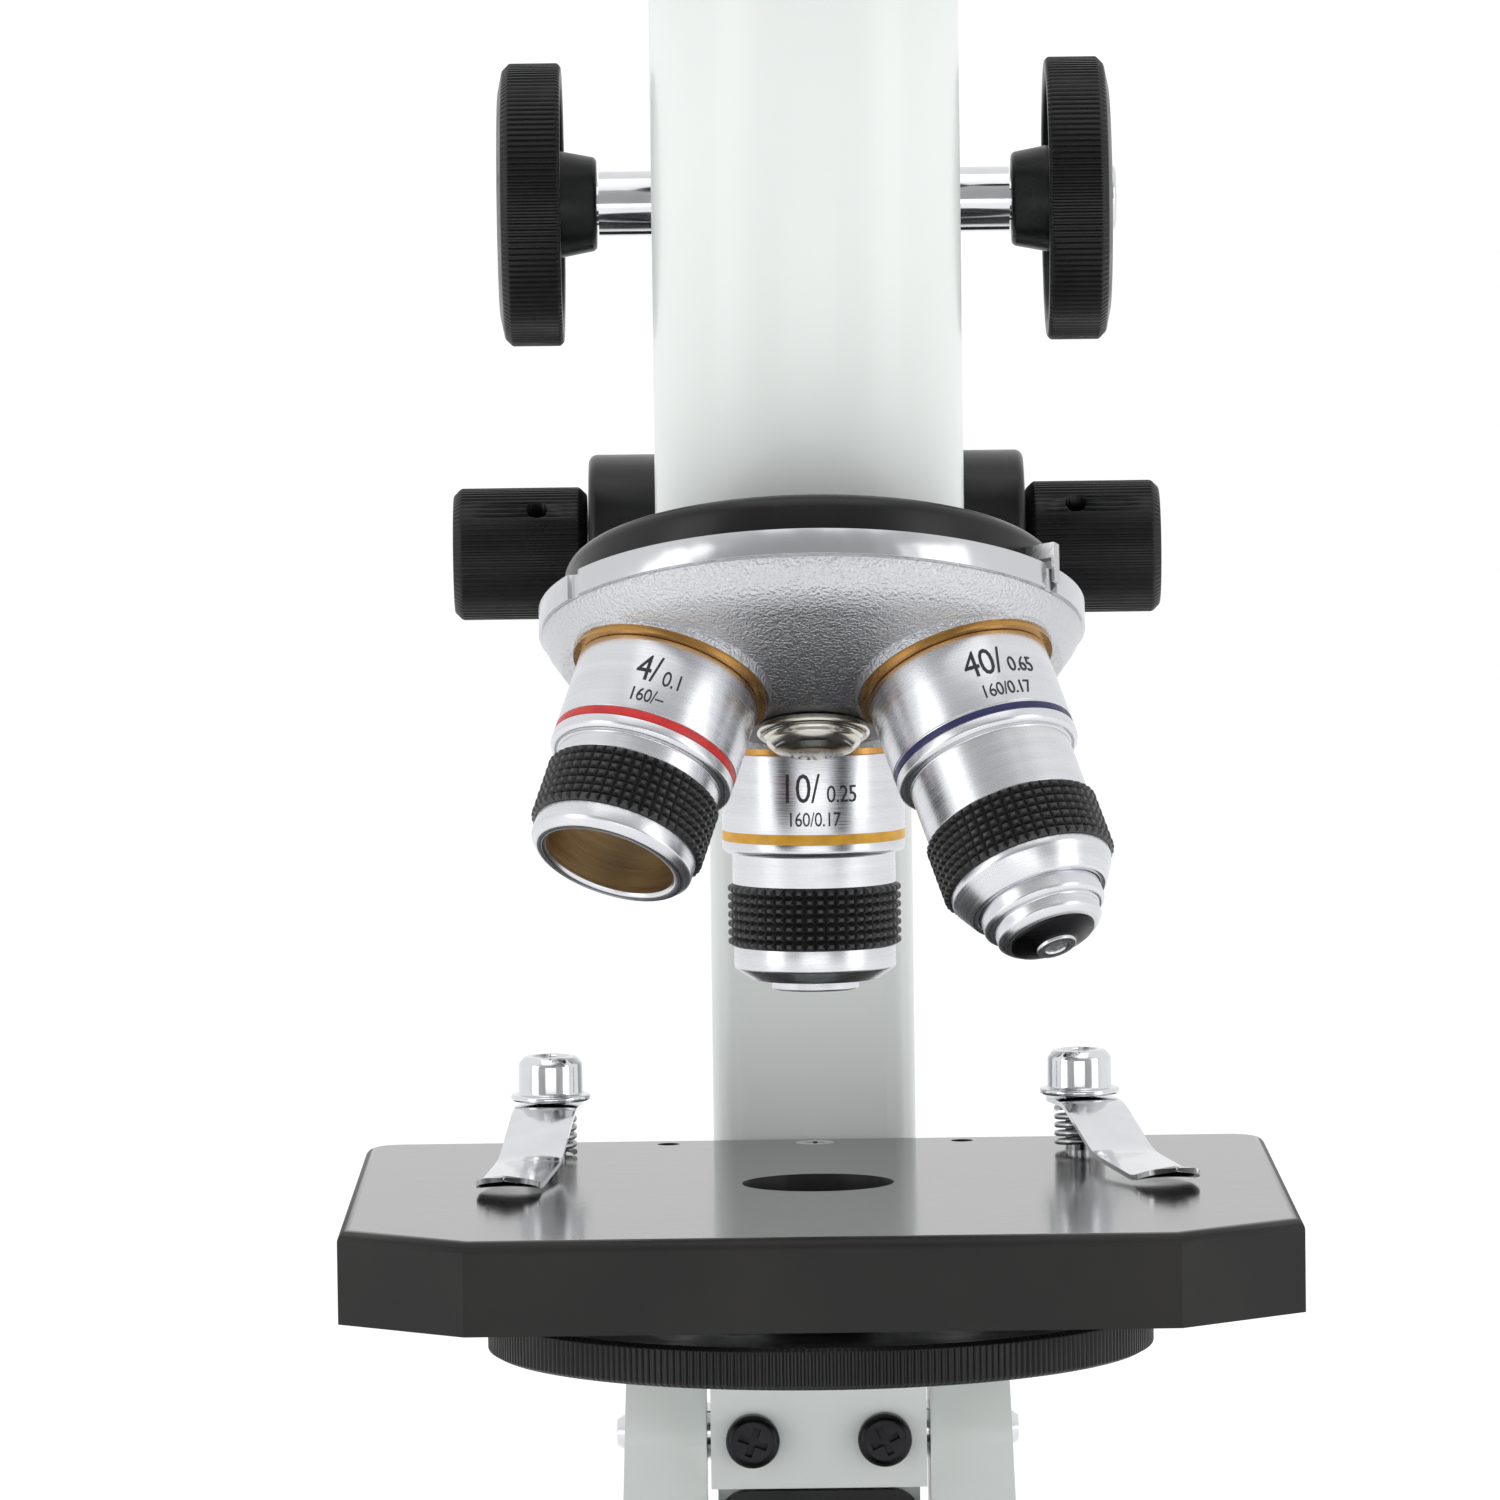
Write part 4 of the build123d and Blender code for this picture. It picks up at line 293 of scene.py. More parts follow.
# ---------------------------------------------------------------- meshes
CURVE_STEPS = (0.0, 0.33, 0.67, 1.0)    # points along the curve that rounds a corner
CURVE_SHARE = 0.45          # most that a rounded corner takes of a side
JOIN_DISTANCE = 1e-7        # metres
THIN_DISTANCE = 1e-8
UV_STEP = 0.001             # metres that the closing side of a ring takes on its UV map
RIB_SHARP = 28              # degrees above which an edge of a ribbed piece stays sharp
STUD_ROWS = 7
STUD_COLUMNS = 50
STUD_SINK = 0.25            # foot of the studs below the grip's radius, in mm
STUD_RISE = 0.6
STUD_TOP_SHARE = 0.36       # flat top of a stud, as a share of its foot
BAND_DEPTH = 0.6
STUD_SHARP = 20
CAPITAL_SHARE = 0.72        # height of a figure as a share of the font's size
FIGURE_WIDTH = 0.82         # narrowing of the font
FIGURE_SPACING = 0.94
FIGURE_RELIEF = 0.03        # half the figures' thickness, in mm
FIGURE_STAND = 0.05         # middle of the figures above the barrel
LONG_EDGE = 0.5             # edges above this are split, so that figures follow the barrel


def axis_frame(origin, axis, facing):
    """Matrix whose Z runs along the axis and whose X leans towards facing."""
    z = Vector(axis).normalized()
    x = (Vector(facing) - z * z.dot(Vector(facing))).normalized()
    y = z.cross(x)
    rows = Matrix((x, y, z)).transposed().to_4x4()
    rows.translation = Vector(origin)
    return rows


def scaled(place):
    """The same placing for points given in mm."""
    return place @ Matrix.Scale(MM, 4)


def around(radius, turn, height):
    """Point at a turn round the Z axis."""
    return Vector((radius * math.cos(turn), radius * math.sin(turn), height))


def rounded(outline, radius, closed):
    """Corners of an outline (radius, height, rib depth in mm) worn round."""
    corners = [Vector((*point, 0.0)[:3]) for point in outline]
    made = []
    for i, corner in enumerate(corners):
        if not closed and i in (0, len(corners) - 1):
            made.append(corner)
            continue
        before = corners[i - 1] - corner
        after = corners[(i + 1) % len(corners)] - corner
        cut = min(radius, CURVE_SHARE * before.length, CURVE_SHARE * after.length)
        start = corner + before.normalized() * cut
        end = corner + after.normalized() * cut
        for t in CURVE_STEPS:
            made.append(start * (1 - t) ** 2 + corner * 2 * t * (1 - t) + end * t ** 2)
    return made


def add_mesh(name, body, slot, mesh, stands_for=(), finish=None):
    """Links a mesh drawn in the row frame as a piece, in its slot's finish or a named one."""
    piece = bpy.data.objects.new(name, mesh)
    bpy.context.scene.collection.objects.link(piece)
    mesh.materials.append(FINISHES[finish or slot].material)
    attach(piece, body)
    if stands_for:
        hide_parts(*stands_for)
    return piece


def cleaned(mesh, sharp):
    """Joined, outward-facing and smooth up to the sharp angle in degrees."""
    work = bmesh.new()
    work.from_mesh(mesh)
    bmesh.ops.remove_doubles(work, verts=work.verts, dist=JOIN_DISTANCE)
    bmesh.ops.dissolve_degenerate(work, edges=work.edges, dist=THIN_DISTANCE)
    bmesh.ops.recalc_face_normals(work, faces=work.faces)
    work.to_mesh(mesh)
    work.free()
    mesh.polygons.foreach_set("use_smooth", [True] * len(mesh.polygons))
    mesh.set_sharp_from_angle(angle=math.radians(sharp))
    return mesh


def turned_mesh(name, outline, place, segments=128, closed=False, edge=0.25, ribs=0,
                groove=(0, 0, 1, 1), sharp=35):
    """Solid of revolution from (radius, height, rib depth) corners in mm.

    Each rib is one round of groove, whose values are shares of the rib depth to sink by."""
    profile = rounded(outline, edge, closed)
    if ribs:
        segments = ribs * len(groove)
    rows = len(profile)
    points = []
    for corner in profile:
        for i in range(segments):
            sink = corner.z * groove[i % len(groove)] if ribs else 0.0
            points.append(place @ around(max(corner.x - sink, 0.0), TAU * i / segments, corner.y))
    lengths = [0.0]
    for a, b in zip(profile, profile[1:]):
        lengths.append(lengths[-1] + (b.xy - a.xy).length * MM)
    faces = []
    coordinates = []
    for j in range(rows if closed else rows - 1):
        k = (j + 1) % rows
        v0 = lengths[j]
        v1 = lengths[k] if k else v0 + UV_STEP
        row, next_row = j * segments, k * segments
        for i in range(segments):
            n = (i + 1) % segments
            faces.append((row + i, row + n, next_row + n, next_row + i))
            u0, u1 = i / segments, (i + 1) / segments
            coordinates += [u0, v0, u1, v0, u1, v1, u0, v1]
    mesh = bpy.data.meshes.new(name)
    mesh.from_pydata(points, [], faces)
    mesh.uv_layers.new(name="turned").data.foreach_set("uv", coordinates)
    return cleaned(mesh, sharp)


def turned(name, body, slot, outline, place, stands_for=(), finish=None, **options):
    mesh = turned_mesh(name, outline, scaled(place), **options)
    return add_mesh(name, body, slot, mesh, stands_for, finish)


def ribbed(name, body, slot, outline, place, node, ribs, **options):
    """Turned piece with ribs along its axis, in place of a CAD node."""
    return turned(name, body, slot, outline, place, (node,), ribs=ribs, sharp=RIB_SHARP, **options)


def apply_modifiers(piece):
    """Keeps what a piece's modifiers make of its mesh as its mesh."""
    bpy.context.view_layer.update()
    shaped = piece.evaluated_get(bpy.context.evaluated_depsgraph_get())
    result = bpy.data.meshes.new_from_object(shaped)
    piece.modifiers.clear()
    piece.data = result


def drill(piece, radius, start, end, place, segments):
    """Cuts a round hole from start to end along a placing's Z."""
    outline = [(0, start), (radius, start), (radius, end), (0, end)]
    mesh = turned_mesh("hole", outline, scaled(place), segments=segments, edge=0.01)
    tool = bpy.data.objects.new("tool", mesh)
    bpy.context.scene.collection.objects.link(tool)
    cut = piece.modifiers.new("cut", "BOOLEAN")
    cut.operation = "DIFFERENCE"
    cut.solver = "EXACT"
    cut.object = tool
    apply_modifiers(piece)
    bpy.data.objects.remove(tool)


def bevel(piece, width, segments, angle):
    """Rounds the edges sharper than an angle in degrees, width in mm."""
    edge = piece.modifiers.new("edge", "BEVEL")
    edge.width = width * MM
    edge.segments = segments
    edge.limit_method = "ANGLE"
    edge.angle_limit = math.radians(angle)
    return edge


def stud_grip(name, body, slot, finish, place, radius, top, height):
    """Band of small square studs round a barrel, each a pyramid with a worn top."""
    place = scaled(place)
    points = []
    faces = []
    step = height / STUD_ROWS
    foot = radius - STUD_SINK
    back = foot - BAND_DEPTH
    bottom = top - height

    def add(r, turn, z):
        points.append(place @ around(r, turn, z))
        return len(points) - 1

    columns = [(TAU * i / STUD_COLUMNS, TAU * (i + 1) / STUD_COLUMNS) for i in range(STUD_COLUMNS)]
    for row in range(STUD_ROWS):
        low = top - step * (row + 1)
        high = top - step * row
        mid_z = (low + high) / 2
        for left, right in columns:
            mid_turn = (left + right) / 2
            corners = ((left, low), (right, low), (right, high), (left, high))
            base = [add(foot, turn, z) for turn, z in corners]
            crest = [add(foot + STUD_RISE, mid_turn + (turn - mid_turn) * STUD_TOP_SHARE,
                         mid_z + (z - mid_z) * STUD_TOP_SHARE) for turn, z in corners]
            faces.append(tuple(crest))
            for i in range(4):
                n = (i + 1) % 4
                faces.append((base[i], base[n], crest[n], crest[i]))
    for z in (top, bottom):
        for left, right in columns:
            faces.append((add(foot, left, z), add(foot, right, z),
                          add(back, right, z), add(back, left, z)))
    for left, right in columns:
        faces.append((add(back, left, top), add(back, right, top),
                      add(back, right, bottom), add(back, left, bottom)))
    mesh = bpy.data.meshes.new(name)
    mesh.from_pydata(points, [], faces)
    add_mesh(name, body, slot, cleaned(mesh, STUD_SHARP), finish=finish)


def flat_text(text, height):
    """Mesh of a line of text in mm, finely divided."""
    curve = bpy.data.curves.new("print", "FONT")
    curve.body = text
    curve.size = height / CAPITAL_SHARE
    curve.extrude = FIGURE_RELIEF
    curve.resolution_u = 3
    curve.space_character = FIGURE_SPACING
    curve.align_x = "LEFT"
    holder = bpy.data.objects.new("print", curve)
    bpy.context.scene.collection.objects.link(holder)
    bpy.context.view_layer.update()
    mesh = bpy.data.meshes.new_from_object(holder)
    bpy.data.objects.remove(holder)
    finer = bmesh.new()
    finer.from_mesh(mesh)
    bmesh.ops.triangulate(finer, faces=finer.faces)
    for _ in range(2):
        long_edges = [edge for edge in finer.edges if edge.calc_length() > LONG_EDGE]
        bmesh.ops.subdivide_edges(finer, edges=long_edges, cuts=1)
        bmesh.ops.triangulate(finer, faces=finer.faces)
    finer.to_mesh(mesh)
    finer.free()
    return mesh


def printed(name, body, finish, lines, place, radius, facing):
    """Lines of print wrapped round a barrel, as (text, letter height, height on the barrel,
    shift along the line) in mm. They face a turn in degrees."""
    place = scaled(place)
    joined = bmesh.new()
    for text, height, z, shift in lines:
        mesh = flat_text(text, height)
        for vertex in mesh.vertices:
            x, y, out = vertex.co
            turn = math.radians(facing) + (x * FIGURE_WIDTH + shift) / radius
            vertex.co = place @ around(radius + FIGURE_STAND + out, turn, z + y)
        joined.from_mesh(mesh)
    whole = bpy.data.meshes.new(name)
    joined.to_mesh(whole)
    joined.free()
    add_mesh(name, body, None, whole, finish=finish)


# ---------------------------------------------------------------- CAD nodes that stay
WELD_DISTANCE = 2e-6        # metres
SOFT_EDGES = {              # mm
    "base_casting": 0.5, "column": 0.5, "limb": 0.6, "stage_bracket": 0.4, "head_casting": 0.6,
    "stage_plate": 0.25, "focus_drum": 0.3, "coarse_guide": 0.4, "fork_cover": 0.5,
    "switch_frame": 0.3, "power_switch": 0.3, "battery_door": 0.3, "base_plate": 0.3,
    "tube_slide": 0.3, "turret": 0.25, "nosepiece_ring": 0.3, "body_tube": 0.2,
    "head_collar": 0.3, "bracket_screws": 0.15, "stage_screw": 0.1,
}
OWN_FINISH = {"lamp_lens": "frosted_glass"}


def dress_cad_nodes():
    for node, piece in NODES.items():
        finish = FINISHES[OWN_FINISH.get(node, SLOT_OF[node])]
        piece.data.materials.clear()
        piece.data.materials.append(finish.material)
        if node in SOFT_EDGES:
            weld = piece.modifiers.new("weld", "WELD")
            weld.merge_threshold = WELD_DISTANCE
            edge = bevel(piece, SOFT_EDGES[node], 3, 40)
            edge.use_clamp_overlap = True
            edge.harden_normals = True


# ---------------------------------------------------------------- objectives
OBJECTIVE_REACH = 62.0      # mm from the point where the objective axes meet to each shoulder
THREAD_TOP = 4.5            # above the shoulder
SLEEVE_RADIUS = 12.0
NECK_RADIUS = 10.7
GRIP_RADIUS = 11.0
GRIP_SINK = 0.6             # barrel under the studs
FRONT_RADIUS = 10.6
LEDGE = -13.4               # height where the sleeve steps in to the neck
BAND_TOP = -10.5            # groove for the colour band
BAND_BOTTOM = -11.7
BAND_SINK = 0.02            # face of the colour band below the sleeve
BAND_THICKNESS = 0.3
BARREL_SEGMENTS = 160
SCREW_FACE = 61.55          # turret face on its pivot screw, from the axes' meeting point
SCREW_DOME = 6.1


def turret_pivot():
    return Vector(JOINTS["turret_turn"]["pos_m"]), Vector(JOINTS["turret_turn"]["axis"])


def station(index):
    """Placing of an objective: origin at its shoulder, +Z towards the nosepiece, X forwards."""
    apex, axis = turret_pivot()
    down = Matrix.Rotation(math.radians(-120 * index), 3, axis) @ Vector((0, 0, -1))
    shoulder = apex + down * OBJECTIVE_REACH * MM
    return axis_frame(shoulder, -down, FRONT)


def barrel_top():
    """Corners that the three objectives share, from the thread to the ledge."""
    groove = SLEEVE_RADIUS - 0.12
    return [(6.0, THREAD_TOP), (10.1, THREAD_TOP), (10.1, 0), (SLEEVE_RADIUS, 0),
            (SLEEVE_RADIUS, BAND_TOP + 0.05), (groove, BAND_TOP), (groove, BAND_BOTTOM),
            (SLEEVE_RADIUS, BAND_BOTTOM - 0.05), (SLEEVE_RADIUS, LEDGE + 0.5),
            (SLEEVE_RADIUS - 0.5, LEDGE), (NECK_RADIUS, LEDGE)]


def objective(node, place, grip, length, front, band, figures, facing, bore=None):
    """Barrel with a grip from a height over a length, a front outline, a colour band, which is
    (finish, top, bottom), and figures. An open one has a bore of its own."""
    barrel = barrel_top() + [
        (NECK_RADIUS, grip), (GRIP_RADIUS - GRIP_SINK, grip),
        (GRIP_RADIUS - GRIP_SINK, grip - length), (FRONT_RADIUS, grip - length)] + front
    turned(node + "_barrel", "turret", "objective_chrome", barrel, place, (node,),
           segments=BARREL_SEGMENTS)
    if bore:
        turned(node + "_bore", "turret", "objective_chrome", bore, place, finish="bronze_bore")
    ink_name, top, bottom = band
    outer = SLEEVE_RADIUS - BAND_SINK
    inner = outer - BAND_THICKNESS
    ring = [(inner, top), (outer, top), (outer, bottom), (inner, bottom)]
    turned(node + "_band", "turret", None, ring, place, finish=ink_name, closed=True, edge=0.05)
    stud_grip(node + "_grip", "turret", "black_knob", "black_grip", place, GRIP_RADIUS, grip,
              length)
    printed(node + "_figures", "turret", "black_ink", figures, place, SLEEVE_RADIUS, facing)


def objective_4x():
    grip, length = -15.6, 8.0
    end = grip - length - 3.2
    mouth = (8.45, end + 0.5)
    front = [(FRONT_RADIUS, end + 1.0), (FRONT_RADIUS - 0.9, end), (8.75, end), mouth]
    bore = [mouth, (8.42, end + 2.0), (8.42, end + 9.0), (8.0, end + 9.3), (8.0, end + 11.0),
            (6.0, end + 11.0), (6.0, THREAD_TOP)]
    figures = [("4/", 3.7, -6.2, -4.0), ("0.1", 2.2, -6.4, -0.4), ("160/–", 1.9, -9.2, -4.0)]
    objective("objective_4x", station(1), grip, length, front, ("red_ink", -10.55, -11.65),
              figures, -4, bore)


def objective_10x():
    grip, length = -17.6, 8.1
    bevel_top = grip - length - 2.9
    nose = bevel_top - 1.6
    end = nose - 1.3
    front = [(FRONT_RADIUS, bevel_top), (FRONT_RADIUS - 2.3, nose), (5.7, nose), (5.7, end),
             (4.2, end), (4.2, nose), (4.0, THREAD_TOP)]
    figures = [("10/", 3.9, -6.2, -5.2), ("0.25", 2.3, -6.2, 1.0), ("160/0.17", 1.9, -9.3, -4.2)]
    objective("objective_10x", station(0), grip, length, front, ("yellow_ink", -10.3, -11.75),
              figures, 3)


def objective_40x():
    """The long objective with its spring nose, which has a black front cap and a bright rim."""
    place = station(2)
    grip, length = -21.6, 7.8
    taper = grip - length
    end = taper - 3.9
    front = [(FRONT_RADIUS, taper - 0.9), (8.9, end), (8.1, end), (8.1, end + 1.7),
             (8.6, end + 1.7), (8.6, end + 12)]
    figures = [("40/", 3.8, -6.2, -4.6), ("0.65", 2.2, -6.2, 1.2), ("160/0.17", 1.9, -9.4, -3.6)]
    objective("objective_40x", place, grip, length, front, ("blue_ink", -10.7, -11.6), figures, 28)
    cap_start = (5.6, end - 4.9)
    rim_start = (2.6, end - 6.3)
    nose = [(3.0, end + 4.3), (8.5, end + 4.3), (8.5, end + 2.0), (8.0, end + 2.0),
            (8.0, end - 1.9), (7.5, end - 2.4), (6.9, end - 2.4), (6.9, end - 4.0),
            (6.2, end - 4.7), cap_start]
    turned("objective_40x_nose_shell", "spring_nose", "objective_chrome", nose, place,
           ("objective_40x_nose",))
    cap = [cap_start, (5.5, end - 5.2), (2.9, end - 6.1), rim_start]
    turned("objective_40x_front_cap", "spring_nose", "black_screw", cap, place, edge=0.15)
    rim = [rim_start, (2.55, end - 6.7), (1.5, end - 6.7), (1.3, end - 6.4), (1.3, end - 5.7)]
    turned("objective_40x_front_rim", "spring_nose", "objective_chrome", rim, place, edge=0.1)


def nose_spring():
    """The coil behind the 40x spring nose, as a copy of its CAD node with a mesh of its own."""
    node = "objective_40x_spring"
    mesh = NODES[node].data.copy()
    mesh.transform(NODES[node].matrix_world)
    mesh.materials.clear()
    coil = add_mesh("objective_40x_coil", "turret", "steel", mesh, (node,))
    axis = station(2).to_3x3() @ Vector(UP)
    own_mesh(coil)


def pivot_screw():
    apex, axis = turret_pivot()
    outline = [(0, -50.5), (2.5, -50.5), (2.5, -56), (4.0, -56), (4.0, -SCREW_FACE),
               (7.3, -SCREW_FACE), (7.3, -SCREW_FACE - 0.8), (6.9, -SCREW_FACE - 1.1),
               (6.3, -SCREW_FACE - 1.15), (SCREW_DOME, -SCREW_FACE - 1.5),
               (SCREW_DOME, -SCREW_FACE - 2.0), (SCREW_DOME - 1.0, -SCREW_FACE - 2.9),
               (3.0, -SCREW_FACE - 3.5), (0, -SCREW_FACE - 3.7)]
    turned("turret_screw_domed", "tube", "nickel", outline, axis_frame(apex, -axis, FRONT),
           ("turret_screw",), segments=96, edge=0.35, sharp=50)


# ---------------------------------------------------------------- knobs
COARSE_KNOB_WIDTH = 8.5     # mm, without its boss
COARSE_BOSS = 4.6
COARSE_RIB = 0.34
FINE_RIB = 0.22
SET_SCREW_BACK = 1.5        # middle of the set screw hole from the screws' outer end
SET_SCREW_RADIUS = 1.5
SET_SCREW_TURN = 45         # degrees
THUMB_GRIP = 8.5
THUMB_RIB = 0.3
DISC_BAND = 5.3             # height of the knurled band on the aperture disc
DISC_RIB = 0.32
DISC_STAND = 0.3            # band above the disc's edge


def side_frame(node, side):
    """Placing with +Z out along X from the middle plane, on a node's own axis, and in mm the
    distances of its near and far end and its radius."""
    low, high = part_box(node)
    centre = (low + high) / 2
    near, far = sorted((abs(low.x), abs(high.x)))
    place = axis_frame((0, centre.y, centre.z), (side, 0, 0), UP)
    return place, near / MM, far / MM, (high.z - low.z) / 2 / MM


def coarse_knob(node, side):
    place, _, outer, rim = side_frame(node, side)
    inner = outer - COARSE_KNOB_WIDTH
    boss = inner - COARSE_BOSS
    outline = [(3.05, boss), (5.9, boss), (6.3, boss + 0.4), (7.1, inner), (7.4, outer - 3.6),
               (rim - 2.6, outer - 3.4), (rim - 2.4, inner + 0.2), (rim - 1.9, inner),
               (rim - 0.5, inner), (rim, inner + 0.5, COARSE_RIB), (rim, outer - 1.6, COARSE_RIB),
               (rim - 1.0, outer - 0.6), (rim - 4.0, outer), (rim - 5.2, outer - 0.5),
               (7.0, outer - 0.5), (6.4, outer), (4.6, outer), (3.05, outer - 0.4)]
    ribbed(node + "_ribbed", "coarse_knobs", "black_knob", outline, place, node, 140, edge=0.2)
    if side < 0:
        plug = [(0, outer - 0.2), (3.9, outer - 0.2), (4.3, outer - 0.5), (4.3, outer - 2)]
        turned(node + "_plug", "coarse_knobs", "black_knob", plug, place, finish="black_gloss",
               edge=0.3)


def fine_knob(node, side):
    place, inner, outer, rim = side_frame(node, side)
    face = rim - 0.02
    outline = [(2.52, inner), (rim - 1.1, inner), (rim - 0.2, inner + 0.9, FINE_RIB),
               (face, inner + 1.2, FINE_RIB), (face, outer - 1.2, FINE_RIB),
               (rim - 0.2, outer - 0.9, FINE_RIB), (rim - 1.1, outer), (rim - 2.1, outer),
               (rim - 2.4, outer - 0.6), (0, outer - 0.6)]
    piece = ribbed(node + "_ribbed", "fine_knobs", "black_knob", outline, place, node, 72, edge=0.2)
    hole_x = side * (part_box("fine_set_screws")[1].x - SET_SCREW_BACK * MM)
    direction = Matrix.Rotation(math.radians(SET_SCREW_TURN), 3, "X") @ Vector(UP)
    centre = Vector((hole_x, place.translation.y, place.translation.z))
    drill(piece, SET_SCREW_RADIUS, 3.0, rim + 2, axis_frame(centre, direction, SIDE), 32)


def thumb_screw():
    low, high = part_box("head_screw")
    centre = (low + high) / 2
    place = axis_frame((low.x, centre.y, centre.z), SIDE, UP)
    length = (high.x - low.x) / MM
    grip = length - THUMB_GRIP
    outline = [(0, 0), (1.5, 0), (1.5, grip), (3.4, grip), (3.9, grip + 0.5, THUMB_RIB),
               (3.9, length - 0.8, THUMB_RIB), (3.3, length), (2.4, length),
               (2.0, length - 0.4), (0, length - 0.4)]
    ribbed("head_screw_knurled", "tube", "black_knob", outline, place, "head_screw", 36, edge=0.2)


def disc_rim():
    """Knurled band on the edge of the aperture disc."""
    low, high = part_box("diaphragm_disc")
    pivot = JOINTS["aperture_turn"]["pos_m"]
    radius = (high.x - low.x) / 2 / MM
    place = axis_frame((pivot[0], pivot[1], 0), UP, FRONT)
    bottom = low.z / MM
    top = bottom + DISC_BAND
    outline = [(radius - 1.5, bottom - 0.03), (radius - 0.6, bottom - 0.03),
               (radius + DISC_STAND, bottom + 0.45, DISC_RIB),
               (radius + DISC_STAND, top - 0.45, DISC_RIB),
               (radius - 0.6, top + 0.03), (radius - 1.5, top + 0.03)]
    turned("aperture_disc_knurl", "aperture_disc", "black_disc", outline, place,
           ribs=300, edge=0.15, closed=True, sharp=RIB_SHARP)


# ---------------------------------------------------------------- stage clips
CLIP_LINE = [(-5.8, 6.5), (6.5, 6.5), (21.5, 1.3), (41.5, 0.3), (47.2, 2.0)]    # along, up
CLIP_TURN = {"left_clip": -6.5, "right_clip": 13.5}     # degrees from straight forwards
CLIP_HALF_WIDTH = 4.2
CLIP_BEND = 2.6
CLIP_STEP = 0.9
CLIP_ACROSS = 12            # faces across the strip
CLIP_BOW = 0.25
CLIP_LIFT = 0.3
CLIP_THICKNESS = 0.7
CLIP_HOLE = 2.35


def clip_strip(node):
    """Spring strip: flat round its post, two soft bends, and a rounded tip that turns up."""
    pivot = JOINTS[node + "_swing"]["pos_m"]
    turn = Matrix.Rotation(math.radians(CLIP_TURN[node] - 90), 4, "Z")
    place = scaled(Matrix.Translation(pivot) @ turn)
    line = rounded(CLIP_LINE, CLIP_BEND, False)
    stations = []
    for a, b in zip(line, line[1:]):
        steps = max(1, round((b - a).length / CLIP_STEP))
        stations += [a.lerp(b, i / steps) for i in range(steps)]
    stations.append(line[-1])
    start, end = CLIP_LINE[0][0], CLIP_LINE[-1][0]
    points = []
    for spot in stations:
        from_end = min(spot.x - start, end - spot.x, CLIP_HALF_WIDTH)
        half = math.sqrt(max(CLIP_HALF_WIDTH ** 2 - (CLIP_HALF_WIDTH - from_end) ** 2, 0.02))
        for i in range(CLIP_ACROSS + 1):
            share = 2 * i / CLIP_ACROSS - 1
            bow = CLIP_BOW * (1 - share ** 2)
            points.append(place @ Vector((spot.x, share * half, spot.y + bow + CLIP_LIFT)))
    faces = []
    row = CLIP_ACROSS + 1
    for j in range(len(stations) - 1):
        for a in range(j * row, j * row + CLIP_ACROSS):
            faces.append((a, a + 1, a + row + 1, a + row))
    mesh = bpy.data.meshes.new(node + "_strip")
    mesh.from_pydata(points, [], faces)
    piece = add_mesh(node + "_strip", node, "chrome", cleaned(mesh, 60), (node,))
    solid = piece.modifiers.new("thickness", "SOLIDIFY")
    solid.thickness = CLIP_THICKNESS * MM
    solid.offset = 0
    apply_modifiers(piece)
    drill(piece, CLIP_HOLE, 3.0, 12.0, Matrix.Translation(pivot), 40)
    cleaned(piece.data, 40)
    bevel(piece, 0.12, 2, 50)


def clip_post(node):
    outline = [(0, -10.0), (2.0, -10.0), (2.0, 7.6), (5.4, 7.6), (5.4, 8.4), (4.35, 8.5),
               (4.3, 12.6), (3.5, 13.55), (2.6, 13.6), (2.3, 13.2), (0, 13.2)]
    place = Matrix.Translation(JOINTS[node + "_swing"]["pos_m"])
    turned(node + "_post", "arm", "chrome", outline, place, ("clip_posts",), segments=96, edge=0.3)


# ---------------------------------------------------------------- eyepiece, lamp and feet
EYEPIECE_RISE = 23.0        # mm from the head's seat to where the eyepiece's axis meets its swivel
EYEPIECE_SEAT = 45.3        # mm along the eyepiece's axis
EYEPIECE_HEIGHT = 21.0
EYEPIECE_RIB = 0.35
LAMP_RIB = 0.5
FOOT_REACH = 9.0            # middle of a foot from the feet's outer edge


def eyepiece():
    swivel = JOINTS["head_swivel"]["pos_m"]
    origin = (0, swivel[1], swivel[2] + EYEPIECE_RISE * MM)
    place = axis_frame(origin, JOINTS["eyepiece_lift"]["axis"], SIDE)
    seat = EYEPIECE_SEAT
    top = seat + EYEPIECE_HEIGHT
    shell = [(9.6, seat - 21), (11.6, seat - 21), (11.6, seat), (14.5, seat),
             (14.5, seat + 0.8, EYEPIECE_RIB), (14.5, seat + 6.4, EYEPIECE_RIB),
             (14.5, seat + 7.0), (13.7, seat + 8.0), (13.7, top - 5.5), (9.6, top - 5.5)]
    ribbed("eyepiece_barrel", "eyepiece", "black_knob", shell, place, "eyepiece", 90)
    cup = [(13.5, top - 6.0), (13.9, top - 5.4), (14.2, top - 4.2), (15.2, top - 3.2),
           (15.6, top - 2.0), (15.5, top - 0.6), (14.9, top), (12.0, top), (10.4, top - 0.7),
           (8.8, top - 3.0), (8.8, top - 6.0)]
    turned("eyepiece_cup", "eyepiece", "rubber", cup, place, edge=0.6)


def lamp():
    low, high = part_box("lamp_housing")
    centre = (low + high) / 2
    place = Matrix.Translation((centre.x, centre.y, low.z))
    outline = [(3.2, 0), (26, 0), (26, 2.6), (25.2, 3.6), (22.3, 4.0), (22, 5.0), (22, 7.0),
               (22, 7.4, LAMP_RIB), (22, 20.4, LAMP_RIB), (22, 20.8), (22, 24.4), (20.6, 26.0),
               (18.4, 26.0), (18.02, 25.4), (18, 23.0), (16, 23.0), (16, 6.0), (3.2, 6.0)]
    ribbed("lamp_housing_ribbed", "base", "black_plastic", outline, place, "lamp_housing", 96,
           groove=(0, 0, 0, 0, 1, 1), edge=0.35)


